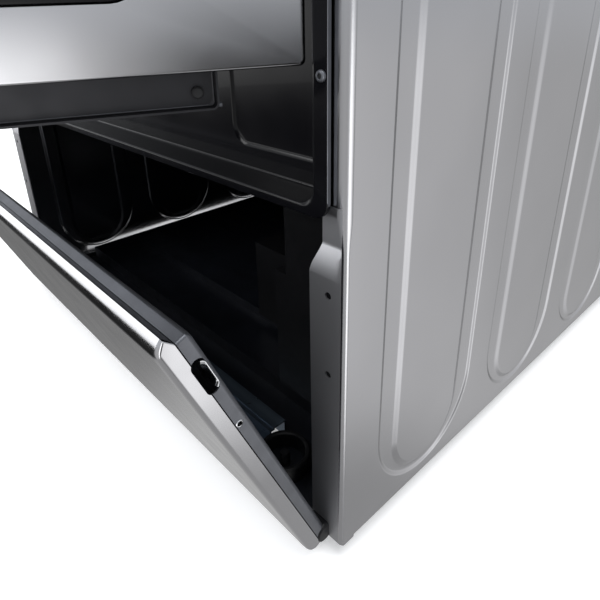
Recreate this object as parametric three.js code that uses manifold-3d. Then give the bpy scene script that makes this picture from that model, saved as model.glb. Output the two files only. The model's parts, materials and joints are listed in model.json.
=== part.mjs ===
// A front-loading clothes dryer, 27 inches wide, with its door and its lower access panel open.
// Cabinet coordinates: X across (0 at the middle), Y back from the front flanges, Z up from the floor.
// The exported group is shifted so that its origin is the sole of the front right levelling foot.
import * as THREE from 'three';
import { mergeVertices } from 'three/addons/utils/BufferGeometryUtils.js';
import Module from 'manifold-3d';

const wasm = await Module();
wasm.setup();

// ---- driving dimensions, millimetres and degrees ----
const CABINET_WIDTH = 686;
const CABINET_DEPTH = 760;
const CABINET_TOP = 967;
const SHEET = 1.2;
const GAP = 0.4;
const FOOT_GAP = 15;
const CORNER_RADIUS = 8;

const FLANGE_WIDE = 33;
const FLANGE_NARROW = 25;
const FLANGE_STEP_LOW = 252;
const FLANGE_STEP_HIGH = 274;
const FLANGE_HOLE_RADIUS = 2.75;
const FLANGE_HOLE_INSET = 16;
const FLANGE_HOLE_HEIGHTS = [176.6, 240];
const RETURN_WIDTH = 20;

const EMBOSS_COUNT = 4;
const EMBOSS_PITCH = 171;
const EMBOSS_FIRST_Y = 108.8;
const EMBOSS_DEPTH = 1.6;
const EMBOSS_OUTER = { radius: 66.3, low: 95, high: 880 };
const EMBOSS_INNER = { radius: 45, low: 80, high: 895 };

const PAN = { front: 84, back: 745, floor: 22, lip: 35, side: 321 };
const PLATE_LOW = 15.5;
const PLATE_HIGH = 17.5;
const RAIL = { front: 161, back: 200 };
const CHANNEL = { front: 7, back: 46.5, step: 31, low: 16, high: 35.5, halfLength: 225 };

const FRONT_BULKHEAD_Y = 80;
const REAR_BULKHEAD_Y = 700;
const BULKHEAD_HALF_WIDTH = 334;
const BULKHEAD_TOP = 945;

const DRUM_Z = 618;
const DRUM_RADIUS = 300;
const DRUM_FRONT = 100;
const DRUM_BACK = 692;
const BAFFLE_ENDS = [130, 640];
const OPENING_RADIUS = 230;
const RECESS_Y = 24;
const RIM_HALF_WIDTH = 329.5;
const RIM_LOW = 293.5;
const RIM_HIGH = 865;
const RIM_FACE_Y = -3.5;
const SCREW = { x: 325.5, z: 379.2, radius: 3.5 };

const DOOR_OPEN_DEG = 66;
const DOOR_AXIS = { x: 298.25, y: 8 };
const DOOR_RIGHT = 295.7;
const DOOR_LEFT = -298;
const DOOR_LOW = 383.5;
const DOOR_HIGH = 853.5;
const DOOR_FACE_Y = -6;
const WINDOW_HALF_WIDTH = 213.5;
const WINDOW_LOW = 419.5;
const WINDOW_HIGH = 817;

const TOE_OPEN_DEG = 23;
const TOE_AXIS = { y: -4, z: 21 };
const TOE_HALF_WIDTH = 328;
const TOE_FACE_Y = -23;
const TOE_TOP = 291;
const TOE_LIP_Y = -11.7;
const TOE_LEDGE = { front: -10.9, back: -1.5, z: 282 };
const TOE_SLOT = { y: -8, radius: 4.8, low: 240, high: 260 };
const TOE_HOLE = { y: -8, z: 200, radius: 2.7 };

const FASCIA_FACE_Y = -22;
const FASCIA_LOW = 868;
const CONTROL_Z = 917;

const BLOWER = { x: 245, z: 125, radius: 80 };
const EXHAUST = { x: 110, z: 90, radius: 50 };
const BELT_Y = 410;
const BELT_WIDTH = 8;
const BELT_THICKNESS = 2.2;
const BELT_CLEARANCE = 1.2;
const PULLEY_RADIUS = 10;
const ROLLER_RADIUS = 34.6;
const ROLLER_ANGLE_DEG = 32;
const ROLLER_Y = 655;
const IDLER_RADIUS = 20;
const IDLER_PIVOT = { x: 169.5, z: 132 };

const FOOT_FRONT = { x: 251, y: 22 };
const FOOT_REAR = { x: 270, y: 690 };

const HALF = CABINET_WIDTH / 2;
const radians = THREE.MathUtils.degToRad;

// ---- shape helpers ----
// Turns a closed geometry into a solid that can be joined and cut.
function solid(geometry) {
  const bare = geometry.index ? geometry.toNonIndexed() : geometry.clone();
  bare.deleteAttribute('normal');
  bare.deleteAttribute('uv');
  const welded = mergeVertices(bare, 1e-3);
  return new wasm.Manifold(new wasm.Mesh({
    numProp: 3,
    vertProperties: new Float32Array(welded.attributes.position.array),
    triVerts: new Uint32Array(welded.index.array),
  }));
}

function geometryOf(shape) {
  const mesh = shape.getMesh();
  const geometry = new THREE.BufferGeometry();
  geometry.setAttribute('position', new THREE.BufferAttribute(mesh.vertProperties, 3));
  geometry.setIndex(new THREE.BufferAttribute(mesh.triVerts, 1));
  return geometry;
}

function join(...parts) {
  return geometryOf(parts.map(solid).reduce((whole, part) => whole.add(part)));
}

function cut(base, ...tools) {
  return geometryOf(tools.map(solid).reduce((rest, tool) => rest.subtract(tool), solid(base)));
}

function block(x0, x1, y0, y1, z0, z1) {
  const box = new THREE.BoxGeometry(x1 - x0, y1 - y0, z1 - z0);
  return box.translate((x0 + x1) / 2, (y0 + y1) / 2, (z0 + z1) / 2);
}

function rodX(radius, x0, x1, y, z, sides = 20) {
  const rod = new THREE.CylinderGeometry(radius, radius, x1 - x0, sides).rotateZ(Math.PI / 2);
  return rod.translate((x0 + x1) / 2, y, z);
}

function rodY(radius, y0, y1, x, z, sides = 20) {
  return new THREE.CylinderGeometry(radius, radius, y1 - y0, sides).translate(x, (y0 + y1) / 2, z);
}

function rodZ(radius, z0, z1, x, y, sides = 20) {
  const rod = new THREE.CylinderGeometry(radius, radius, z1 - z0, sides).rotateX(Math.PI / 2);
  return rod.translate(x, y, (z0 + z1) / 2);
}

// Revolves a profile of [radius, y] points about a line along Y.
function turnedY(profile, x, z, sides = 32) {
  const points = profile.map(([radius, y]) => new THREE.Vector2(radius, y));
  return new THREE.LatheGeometry(points, sides).translate(x, 0, z);
}

function ringY(inner, outer, y0, y1, x, z, sides = 32) {
  const profile = [[inner, y0], [outer, y0], [outer, y1], [inner, y1], [inner, y0]];
  return turnedY(profile, x, z, sides);
}

function shapeOf(points) {
  return new THREE.Shape(points.map(([u, v]) => new THREE.Vector2(u, v)));
}

// Extrudes an outline drawn in X and Z along Y.
function plateY(shape, y0, y1, curveSegments = 6) {
  const options = { depth: y1 - y0, bevelEnabled: false, curveSegments };
  return new THREE.ExtrudeGeometry(shape, options).rotateX(Math.PI / 2).translate(0, y1, 0);
}

// Extrudes an outline drawn in Y and Z along X.
function plateX(shape, x0, x1, curveSegments = 6) {
  const options = { depth: x1 - x0, bevelEnabled: false, curveSegments };
  const turn = new THREE.Matrix4().makeBasis(
    new THREE.Vector3(0, 1, 0),
    new THREE.Vector3(0, 0, 1),
    new THREE.Vector3(1, 0, 0),
  );
  return new THREE.ExtrudeGeometry(shape, options).applyMatrix4(turn).translate(x0, 0, 0);
}

// Extrudes an outline drawn in X and Y along Z.
function plateZ(shape, z0, z1, curveSegments = 6) {
  const options = { depth: z1 - z0, bevelEnabled: false, curveSegments };
  return new THREE.ExtrudeGeometry(shape, options).translate(0, 0, z0);
}

function roundedRectangle(u0, u1, v0, v1, radius) {
  const shape = new THREE.Shape();
  shape.moveTo(u0 + radius, v0);
  shape.lineTo(u1 - radius, v0);
  shape.absarc(u1 - radius, v0 + radius, radius, -Math.PI / 2, 0, false);
  shape.lineTo(u1, v1 - radius);
  shape.absarc(u1 - radius, v1 - radius, radius, 0, Math.PI / 2, false);
  shape.lineTo(u0 + radius, v1);
  shape.absarc(u0 + radius, v1 - radius, radius, Math.PI / 2, Math.PI, false);
  shape.lineTo(u0, v0 + radius);
  shape.absarc(u0 + radius, v0 + radius, radius, Math.PI, Math.PI * 1.5, false);
  return shape;
}

function racetrack(u, radius, low, high) {
  const shape = new THREE.Shape();
  shape.absarc(u, low, radius, Math.PI, Math.PI * 2, false);
  shape.absarc(u, high, radius, 0, Math.PI, false);
  return shape;
}

// The outer outline of a belt around two round pulleys, each { x, z, radius }.
function beltOutline(big, small, Outline = THREE.Shape) {
  const across = small.x - big.x;
  const down = small.z - big.z;
  const heading = Math.atan2(down, across);
  const spread = Math.acos((big.radius - small.radius) / Math.hypot(across, down));
  const outline = new Outline();
  outline.absarc(big.x, big.z, big.radius, heading + spread, heading - spread + Math.PI * 2, false);
  outline.absarc(small.x, small.z, small.radius, heading - spread, heading + spread, false);
  return outline;
}

// ---- finishes ----
const FINISHES = {
  graphite: { color: 0x96979c, roughness: 0.35, metalness: 0.8 },
  gloss_black: { color: 0x15161a, roughness: 0.12, metalness: 0.3 },
  silver: { color: 0xb4b5ba, roughness: 0.3, metalness: 0.85 },
  galvanised: { color: 0x7d8186, roughness: 0.45, metalness: 0.9 },
  dark_steel: { color: 0x2b2d33, roughness: 0.45, metalness: 0.7 },
  black_plastic: { color: 0x121315, roughness: 0.5, metalness: 0 },
  grey_plastic: { color: 0x5a5c60, roughness: 0.5, metalness: 0 },
  rubber: { color: 0x0d0d0e, roughness: 0.85, metalness: 0 },
  felt: { color: 0x8d8a80, roughness: 0.95, metalness: 0 },
  bright_steel: { color: 0xc4c6ca, roughness: 0.22, metalness: 1 },
  glass: { color: 0x1a1c20, roughness: 0.05, metalness: 0 },
};

function piece(name, geometry, finish) {
  const mesh = new THREE.Mesh(geometry, new THREE.MeshStandardMaterial(FINISHES[finish]));
  mesh.name = name;
  return mesh;
}

// ---- cabinet ----
// The plan outline of the right side panel: front return flange, rounded corner, side and rear return.
function sidePlan() {
  const shape = new THREE.Shape();
  const centre = HALF - CORNER_RADIUS;
  const inner = CORNER_RADIUS - SHEET;
  shape.moveTo(HALF - FLANGE_WIDE, 0);
  shape.absarc(centre, CORNER_RADIUS, CORNER_RADIUS, -Math.PI / 2, 0, false);
  shape.lineTo(HALF, CABINET_DEPTH);
  shape.lineTo(HALF - RETURN_WIDTH, CABINET_DEPTH);
  shape.lineTo(HALF - RETURN_WIDTH, CABINET_DEPTH - SHEET);
  shape.lineTo(HALF - SHEET, CABINET_DEPTH - SHEET);
  shape.absarc(centre, CORNER_RADIUS, inner, 0, -Math.PI / 2, true);
  shape.lineTo(HALF - FLANGE_WIDE, SHEET);
  return shape;
}

// The part of the front flange that is cut away above its step, an S-curved edge.
function flangeStep() {
  const wide = HALF - FLANGE_WIDE;
  const narrow = HALF - FLANGE_NARROW;
  const middle = (FLANGE_STEP_LOW + FLANGE_STEP_HIGH) / 2;
  const shape = new THREE.Shape();
  shape.moveTo(wide - 1, FLANGE_STEP_LOW);
  shape.lineTo(wide, FLANGE_STEP_LOW);
  shape.bezierCurveTo(wide, middle, narrow, middle, narrow, FLANGE_STEP_HIGH);
  shape.lineTo(narrow, CABINET_TOP + 1);
  shape.lineTo(wide - 1, CABINET_TOP + 1);
  return plateY(shape, -1, SHEET + 1);
}

function embossCentres() {
  return Array.from({ length: EMBOSS_COUNT }, (_, index) => EMBOSS_FIRST_Y + index * EMBOSS_PITCH);
}

// A ring-shaped channel between two racetracks, from x0 to x1.
function embossRing(y, grow, x0, x1) {
  const outline = racetrack(y, EMBOSS_OUTER.radius + grow, EMBOSS_OUTER.low, EMBOSS_OUTER.high);
  const hole = racetrack(y, EMBOSS_INNER.radius - grow, EMBOSS_INNER.low, EMBOSS_INNER.high);
  outline.holes.push(hole);
  return plateX(outline, x0, x1, 4);
}

function sidePanel() {
  const ends = [FOOT_GAP, CABINET_TOP];
  const returnFront = CORNER_RADIUS;
  const returnBack = CABINET_DEPTH - CORNER_RADIUS;
  const returns = ends.map((z, index) => {
    const low = index ? z - SHEET : z;
    return block(HALF - RETURN_WIDTH, HALF - SHEET / 2, returnFront, returnBack, low, low + SHEET);
  });
  const ridges = embossCentres().map((y) => (
    embossRing(y, SHEET / 2, HALF - SHEET - EMBOSS_DEPTH, HALF - SHEET / 2)
  ));
  const body = join(plateZ(sidePlan(), ...ends), ...returns, ...ridges);
  const grooves = embossCentres().map((y) => embossRing(y, -SHEET / 2, HALF - EMBOSS_DEPTH, HALF + 1));
  const holes = FLANGE_HOLE_HEIGHTS.map((z) => (
    rodY(FLANGE_HOLE_RADIUS, -1, SHEET + 1, HALF - FLANGE_HOLE_INSET, z, 12)
  ));
  const notch = block(HALF - FLANGE_WIDE - 1, HALF - CORNER_RADIUS + 0.5, -1, SHEET + 1, FOOT_GAP - 1, 32);
  return cut(body, flangeStep(), notch, ...grooves, ...holes);
}

// Mirrors a geometry left to right and turns its faces outward again.
function mirrored(geometry) {
  const copy = geometry.clone().scale(-1, 1, 1);
  const order = copy.index.array;
  for (let corner = 0; corner < order.length; corner += 3) {
    [order[corner + 1], order[corner + 2]] = [order[corner + 2], order[corner + 1]];
  }
  return copy;
}

function rearPanel() {
  const y0 = CABINET_DEPTH - SHEET - GAP - 1.6;
  const y1 = CABINET_DEPTH - SHEET - GAP;
  const edge = HALF - SHEET - GAP;
  const plate = block(-edge, edge, y0, y1, FOOT_GAP + 2, CABINET_TOP - 2);
  const outlet = rodY(EXHAUST.radius + 2, y0 - 1, y1 + 1, EXHAUST.x, EXHAUST.z, 28);
  const terminals = block(-295, -225, y0 - 1, y1 + 1, 66, 144);
  const slots = [0, 1, 2, 3, 4, 5].map((row) => (
    block(-120, 120, y0 - 1, y1 + 1, 660 + row * 24, 668 + row * 24)
  ));
  return cut(plate, outlet, terminals, ...slots);
}

function topPanel() {
  const low = CABINET_TOP + GAP;
  const high = low + 17.6;
  const front = FASCIA_FACE_Y;
  const shell = plateZ(roundedRectangle(-HALF, HALF, front, CABINET_DEPTH, 8), low, high, 3);
  const inside = roundedRectangle(-HALF + 1.5, HALF - 1.5, front + 1.5, CABINET_DEPTH - 1.5, 6.5);
  return cut(shell, plateZ(inside, low - 1, high - 1.5, 3));
}

// The base pan: a floor with lips all round, a cross rail, a front shelf, corner plates and the idler's post.
function basePan() {
  const { front, back, floor, lip, side } = PAN;
  const top = lip - SHEET;
  const bottom = block(-side, side, front, back, floor, floor + SHEET);
  const lips = [
    block(-side, side, front, front + SHEET, PLATE_LOW, lip),
    block(-side, side, back - SHEET, back, floor, lip),
    block(-side, -side + SHEET, front, back, floor, lip),
    block(side - SHEET, side, front, back, floor, lip),
  ];
  const railEnd = side - 12;
  const railTop = block(-railEnd, railEnd, RAIL.front, RAIL.back, top, lip);
  const railWalls = [RAIL.front, RAIL.back - SHEET].map((y) => (
    block(-railEnd, railEnd, y, y + SHEET, floor, lip)
  ));
  const plateBack = front + 0.5;
  const shelf = block(-side, side, CHANNEL.back + 1.5, plateBack, PLATE_LOW, PLATE_HIGH);
  const corners = [-1, 1].map((hand) => {
    const ends = [hand * (CHANNEL.halfLength + GAP), hand * side].sort((a, b) => a - b);
    return block(...ends, 6, plateBack, PLATE_LOW, PLATE_HIGH);
  });
  const { x, z } = IDLER_PIVOT;
  const post = block(x - 7, x + 12, 424.5, 428.5, floor, z + 10);
  const pin = rodY(5, 416, 426, x, z, 12);
  const stemHoles = [-1, 1].map((hand) => rodZ(5.6, 14, 20, hand * FOOT_FRONT.x, FOOT_FRONT.y, 16));
  const rearHoles = [-1, 1].map((hand) => rodZ(5.6, 20, 25, hand * FOOT_REAR.x, FOOT_REAR.y, 16));
  const pan = join(bottom, ...lips, railTop, ...railWalls, shelf, ...corners, post, pin);
  return cut(pan, ...stemHoles, ...rearHoles);
}

// A folded channel across the front of the base, with a low step in its top.
function frontChannel() {
  const { front, back, step, low, high, halfLength } = CHANNEL;
  const sheet = 1.5;
  const profile = shapeOf([
    [front, low], [step - 3, low], [step - 3, high - 3], [step + sheet, high - 3],
    [step + sheet, high - sheet], [back - sheet, high - sheet], [back - sheet, low], [back, low],
    [back, high], [step, high], [step, high - sheet], [step - 3 - sheet, high - sheet],
    [step - 3 - sheet, low + sheet], [front, low + sheet],
  ]);
  return plateX(profile, -halfLength, halfLength);
}

// A cup round the levelling foot's stem.
function footSocket() {
  const inner = 19;
  const outer = 25;
  const low = PLATE_HIGH + GAP;
  const rim = 35;
  const points = [
    [inner, low], [outer, low], [outer, rim - 3], [outer - 2, rim], [inner + 2, rim], [inner, rim - 2],
    [inner, low],
  ];
  const profile = points.map(([radius, height]) => new THREE.Vector2(radius, height));
  return new THREE.LatheGeometry(profile, 24).rotateX(Math.PI / 2);
}

function levellingFoot(stemTop) {
  const points = [[0, 0], [17, 0], [17, 5], [13, 8], [7, 8], [7, 11], [5, 11], [5, stemTop], [0, stemTop]];
  const profile = points.map(([radius, height]) => new THREE.Vector2(radius, height));
  return new THREE.LatheGeometry(profile, 16).rotateX(Math.PI / 2);
}

// ---- front of the cabinet ----
// The deep front panel: rim, recess for the door, round opening with its collar, and the catch slot.
function frontPanel() {
  const edge = RIM_HALF_WIDTH;
  const rim = plateY(roundedRectangle(-edge, edge, RIM_LOW, RIM_HIGH, 12), RIM_FACE_Y, -GAP);
  const pan = plateY(roundedRectangle(-317.5, 317.5, 299, 859.5, 13.5), -1.5, RECESS_Y + 1.5);
  const recess = plateY(roundedRectangle(-316, 316, 300.5, 858, 12), -10, RECESS_Y);
  const collar = rodY(OPENING_RADIUS + 1.5, RECESS_Y, 60, 0, DRUM_Z, 40);
  const opening = rodY(OPENING_RADIUS, RECESS_Y - 5, 65, 0, DRUM_Z, 40);
  const catchSlot = block(-275, -255, RECESS_Y - 5, RECESS_Y + 5, 600, 636);
  return cut(join(rim, pan, collar), recess, opening, catchSlot);
}

function controlFascia() {
  const shell = plateY(roundedRectangle(-HALF + 1, HALF - 1, FASCIA_LOW, 966.5, 5), FASCIA_FACE_Y, -GAP, 3);
  const inside = roundedRectangle(-HALF + 3.5, HALF - 3.5, FASCIA_LOW + 2.5, 964, 3);
  const hollow = plateY(inside, FASCIA_FACE_Y + 2.5, 5, 3);
  const shaftHole = rodY(7, FASCIA_FACE_Y - 1, -15, 0, CONTROL_Z);
  const roundHoles = [-230, 230].map((x) => rodY(14, FASCIA_FACE_Y - 1, -15, x, CONTROL_Z, 18));
  const optionHole = block(109.5, 150.5, FASCIA_FACE_Y - 1, -15, 907.5, 926.5);
  const window = block(-170.5, -69.5, FASCIA_FACE_Y - 1, -15, 899.5, 934.5);
  return cut(shell, hollow, shaftHole, ...roundHoles, optionHole, window);
}

function cycleKnob() {
  const y = FASCIA_FACE_Y;
  const profile = [
    [0, y - 25], [27, y - 25], [30, y - 22], [32, y - 3], [32, y - 0.8], [6, y - 0.8], [6, y + 18],
    [0, y + 18],
  ];
  const grip = turnedY(profile, 0, CONTROL_Z, 28);
  const pointer = block(-1.5, 1.5, y - 26.5, y - 24, CONTROL_Z + 8, CONTROL_Z + 26);
  return join(grip, pointer);
}

function roundButton(x) {
  const y = FASCIA_FACE_Y;
  const profile = [
    [0, y - 3.5], [12, y - 3.5], [13.5, y - 2], [13.5, y + 3], [17, y + 3], [17, y + 5], [4, y + 5],
    [4, y + 12], [0, y + 12],
  ];
  return turnedY(profile, x, CONTROL_Z, 18);
}

function optionButton() {
  const y = FASCIA_FACE_Y;
  const face = plateY(roundedRectangle(110, 150, 908, 926, 2), y - 2.5, y + 3.5, 2);
  const stop = block(107, 153, y + 3, y + 5, 905, 929);
  return join(face, stop, block(127, 133, y + 4, y + 12, 914, 920));
}

// ---- door, modelled shut ----
function doorSkin() {
  const outline = roundedRectangle(DOOR_LEFT, DOOR_RIGHT, DOOR_LOW, DOOR_HIGH, 6);
  const pan = plateY(outline, DOOR_FACE_Y, 1, 3);
  const inside = roundedRectangle(DOOR_LEFT + 1.5, DOOR_RIGHT - 1.5, DOOR_LOW + 1.5, DOOR_HIGH - 1.5, 4.5);
  const hollow = plateY(inside, DOOR_FACE_Y + 1.5, 5, 3);
  const edge = WINDOW_HALF_WIDTH + 0.5;
  const window = roundedRectangle(-edge, edge, WINDOW_LOW - 0.5, WINDOW_HIGH + 0.5, 20.5);
  return cut(pan, hollow, plateY(window, DOOR_FACE_Y - 5, 0));
}

function windowTrim() {
  const edge = WINDOW_HALF_WIDTH;
  const shape = roundedRectangle(-edge, edge, WINDOW_LOW, WINDOW_HIGH, 20);
  const inner = roundedRectangle(-edge + 24, edge - 24, WINDOW_LOW + 24, WINDOW_HIGH - 24, 14);
  return cut(plateY(shape, DOOR_FACE_Y - 1.2, DOOR_FACE_Y + 3), plateY(inner, -20, 5));
}

function windowGlass() {
  const edge = WINDOW_HALF_WIDTH - 24.4;
  const shape = roundedRectangle(-edge, edge, WINDOW_LOW + 24.4, WINDOW_HIGH - 24.4, 13.6);
  return plateY(shape, DOOR_FACE_Y - 0.4, DOOR_FACE_Y + 3);
}

// The inner door: a frame behind the skin that hangs below it, and a dished plug for the opening.
function doorInner() {
  const low = 361;
  const edge = 246.7;
  const backY = 15.5;
  const frame = plateY(roundedRectangle(-edge, edge, low, 853, 8), 6.5, backY, 3);
  const hollow = plateY(roundedRectangle(-edge + 2, edge - 2, low + 2, 851, 6), 0, backY - 1.5, 3);
  const plug = turnedY([[0, 50], [150, 48], [188, 40], [200, 14], [0, 14]].reverse(), 0, DRUM_Z, 32);
  const dish = turnedY([[0, 48], [149, 46], [186, 38], [198, 0], [0, 0]].reverse(), 0, DRUM_Z, 32);
  const hole = rodY(2.7, 10, 20, 235.4, 370.7, 12);
  return cut(join(cut(frame, hollow), plug), dish, hole);
}

function doorHingeRail() {
  const { x, y } = DOOR_AXIS;
  const leaf = block(205, x, 2, 5.8, 470.6, 766.4);
  const waist = block(x - 6, x + 10, -10, 20, 500, 737);
  const knuckles = [[470.6, 500], [737, 766.4]].map(([low, high]) => rodZ(7, low, high, x, y));
  const bores = [[460, 501], [736, 780]].map(([low, high]) => rodZ(4.4, low, high, x, y));
  return cut(join(cut(leaf, waist), ...knuckles), ...bores);
}

// One fixed hinge bracket with its pin; hand is 1 where the pin points up.
function doorHinge(low, hand) {
  const { x, y } = DOOR_AXIS;
  const bracket = block(x - 10, x + 4.7, 4, RECESS_Y - GAP, low, low + 30);
  const pin = hand > 0 ? rodZ(4, low + 20, low + 58, x, y) : rodZ(4, low - 28, low + 10, x, y);
  return join(bracket, pin);
}

function doorStrike() {
  const plate = block(-285, -250, 1.4, 5, 598, 638);
  const tongue = block(-268, -262, 4, 38, 608, 628);
  return cut(join(plate, tongue), block(-270, -260, 28, 34, 612, 624));
}

function doorCatch() {
  return cut(block(-282, -248, RECESS_Y + 1.9, 46, 594, 642), block(-275, -255, 20, 43, 601, 635));
}

// ---- lower access panel, modelled shut ----
// The section of the skin: a rolled foot, a flat face, a bevel and a narrow top.
function toeOutline(inset) {
  const face = TOE_FACE_Y + inset;
  const top = TOE_TOP - inset;
  const shape = new THREE.Shape();
  shape.moveTo(-5, 16 + inset);
  shape.lineTo(-12, 16 + inset);
  shape.quadraticCurveTo(face, 17 + inset, face, 30);
  shape.lineTo(face, top - 9);
  shape.quadraticCurveTo(face, top - 7, face + 1.4, top - 5.6);
  shape.lineTo(face + 6, top - 1.2);
  shape.quadraticCurveTo(face + 7.2, top, face + 8.8, top);
  shape.lineTo(TOE_LIP_Y - 0.5, top - 0.3);
  return shape;
}

function toeSkin() {
  const shell = toeOutline(0);
  shell.lineTo(TOE_LEDGE.front, TOE_LEDGE.z + 0.6);
  shell.lineTo(TOE_LEDGE.back - 1, TOE_LEDGE.z + 0.6);
  shell.lineTo(-1, TOE_LEDGE.z - 2);
  shell.lineTo(-1, 26);
  shell.lineTo(-5, 24);
  const inside = toeOutline(1.5);
  inside.lineTo(TOE_LIP_Y, 250);
  inside.lineTo(10, 250);
  inside.lineTo(10, 16);
  const endPlate = TOE_HALF_WIDTH - 1.5;
  const lip = block(-TOE_HALF_WIDTH, TOE_HALF_WIDTH, TOE_LIP_Y - 1.5, TOE_LIP_Y, 284, 300);
  const hollow = cut(plateX(inside, -endPlate, endPlate, 5), lip);
  const openTop = block(-endPlate, endPlate, TOE_LIP_Y, 5, 20, 300);
  const barrels = [-1, 1].map((hand) => {
    const ends = [hand * 310, hand * 335].sort((a, b) => a - b);
    return rodX(9.6, ...ends, TOE_AXIS.y, TOE_AXIS.z, 24);
  });
  const slot = plateX(racetrack(TOE_SLOT.y, TOE_SLOT.radius, TOE_SLOT.low, TOE_SLOT.high), 320, 335, 5);
  const hole = rodX(TOE_HOLE.radius, 320, 335, TOE_HOLE.y, TOE_HOLE.z, 12);
  return cut(plateX(shell, -TOE_HALF_WIDTH, TOE_HALF_WIDTH, 5), hollow, openTop, ...barrels, slot, hole);
}

// The inner frame: a back flange all round, a folded top ledge and two stiffening ribs.
function toeInner() {
  const edge = TOE_HALF_WIDTH - 1.5 - GAP;
  const frame = block(-edge, edge, -3, -1.5, 40, 280);
  const window = block(-edge + 30, edge - 30, -5, 1, 70, 250);
  const { front, back, z } = TOE_LEDGE;
  const sheet = 1.5;
  const ledge = plateX(shapeOf([
    [front, z - 8], [front, z], [back, z], [back, z - 4], [back - sheet, z - 4], [back - sheet, z - sheet],
    [front + sheet, z - sheet], [front + sheet, z - 8],
  ]), -edge, edge);
  const ribs = [-150, 150].map((x) => block(x - 12, x + 12, -3, -1.5, 60, 260));
  const slotSpace = block(310, 335, -5, 1, 228, 272);
  return cut(join(cut(frame, window), ledge, ...ribs), slotSpace);
}

// A spring leaf that lines the back of the slot, thickest at its middle.
function toeClip() {
  const { y, radius, low, high } = TOE_SLOT;
  const leaf = plateX(racetrack(y, radius - GAP, low + 2, high - 4), 314, 328.4, 6);
  return cut(leaf, plateX(racetrack(y - 2.2, radius - GAP, low, high - 2), 310, 335, 6));
}

// A hinge barrel with a domed end, on a short arm.
function toeHinge() {
  const profile = [[0, 312], [9, 312], [9, 326.4], [8.4, 327.8], [6.6, 328.7], [0, 329]];
  const points = profile.map(([radius, x]) => new THREE.Vector2(radius, x));
  const barrel = new THREE.LatheGeometry(points, 24).rotateZ(-Math.PI / 2);
  return join(barrel.translate(0, TOE_AXIS.y, TOE_AXIS.z), block(312, 320.5, -2, 14, 18, 25));
}

// ---- drum and its supports ----
function frontBulkhead() {
  const y = FRONT_BULKHEAD_Y;
  const edge = BULKHEAD_HALF_WIDTH;
  const plate = block(-edge, edge, y, y + 1.5, 300, BULKHEAD_TOP);
  const collar = rodY(237.5, y, y + 45, 0, DRUM_Z, 40);
  return cut(join(plate, collar), rodY(236, y - 10, y + 50, 0, DRUM_Z, 40));
}

function rollerCentre(hand) {
  const reach = DRUM_RADIUS + GAP + ROLLER_RADIUS;
  const angle = radians(ROLLER_ANGLE_DEG);
  return { x: hand * reach * Math.sin(angle), z: DRUM_Z - reach * Math.cos(angle) };
}

// The rear bulkhead, with the drum's bearing ring, the roller axles and the hot air vents.
function rearBulkhead() {
  const y = REAR_BULKHEAD_Y;
  const back = y + 1.5;
  const edge = BULKHEAD_HALF_WIDTH;
  const plate = block(-edge, edge, y, back, 290, BULKHEAD_TOP);
  const boss = ringY(285, 287, y - 28, y + 0.5, 0, DRUM_Z, 40);
  const axles = [-1, 1].map((hand) => {
    const { x, z } = rollerCentre(hand);
    return rodY(6, ROLLER_Y - 6, y + 0.5, x, z, 16);
  });
  const ventReach = 95;
  const vents = Array.from({ length: 8 }, (_, index) => {
    const angle = (index * Math.PI) / 4;
    const x = ventReach * Math.cos(angle);
    return rodY(16, y - 10, y + 5, x, DRUM_Z - 40 + ventReach * Math.sin(angle), 8);
  });
  return cut(join(plate, boss, ...axles), ...vents);
}

function drumShell() {
  const wall = SHEET;
  const profile = [
    [247, DRUM_FRONT], [DRUM_RADIUS, DRUM_FRONT], [DRUM_RADIUS, DRUM_BACK], [DRUM_RADIUS - wall, DRUM_BACK],
    [DRUM_RADIUS - wall, DRUM_FRONT + wall], [247 + wall, DRUM_FRONT + wall], [247 + wall, DRUM_FRONT + 12],
    [247, DRUM_FRONT + 12], [247, DRUM_FRONT],
  ];
  return turnedY(profile, 0, DRUM_Z, 40);
}

function baffleSection(inset) {
  const shape = new THREE.Shape();
  shape.moveTo(-40 + inset, -295 - inset);
  shape.lineTo(40 - inset, -295 - inset);
  shape.bezierCurveTo(28 - inset, -285, 14 - inset, -240, 8 - inset, -232);
  shape.absarc(0, -232, 8 - inset, 0, Math.PI, false);
  shape.bezierCurveTo(-14 + inset, -240, -28 + inset, -285, -40 + inset, -295 - inset);
  return shape;
}

// A lifting baffle: a rounded ridge along the drum wall, turned to its place round the axis.
function drumBaffle(turn) {
  const [front, back] = BAFFLE_ENDS;
  const wall = 3;
  const outside = plateY(baffleSection(0), front, back, 4);
  const ridge = cut(outside, plateY(baffleSection(wall), front + wall, back - wall, 4));
  return ridge.rotateY(turn).translate(0, 0, DRUM_Z);
}

function drumRoller(hand) {
  const { x, z } = rollerCentre(hand);
  const r = ROLLER_RADIUS;
  const y = ROLLER_Y;
  const profile = [
    [6.4, y], [12, y], [14, y + 6], [r - 6, y + 6], [r - 6, y], [r, y], [r, y + 22], [6.4, y + 22], [6.4, y],
  ];
  return turnedY(profile, x, z, 24);
}

function drumLamp() {
  return turnedY([[0, 688], [14, 688], [22, 692], [22, 699.6], [0, 699.6]], 150, 780, 20);
}

// ---- drive ----
function motorHousing() {
  const { x, z } = BLOWER;
  const can = turnedY([
    [6.4, 230], [22, 230], [24, 236], [54, 240], [60, 248], [60, 366], [54, 374], [24, 378], [22, 384],
    [6.4, 384], [6.4, 230],
  ], x, z, 24);
  const cradle = block(x - 48, x + 48, 262, 350, 23.6, z - 45);
  const plate = block(x - 48, x + 48, 262, 266, 60, z - 10);
  return join(can, cradle, plate);
}

function motorRotor() {
  const { x, z } = BLOWER;
  const r = PULLEY_RADIUS;
  return turnedY([
    [0, 157], [5, 157], [5, 405], [r + 3, 405], [r + 3, 407], [r, 408], [r, 420], [r + 3, 421],
    [r + 3, 423], [5, 423], [5, 428], [0, 428],
  ], x, z, 18);
}

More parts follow.
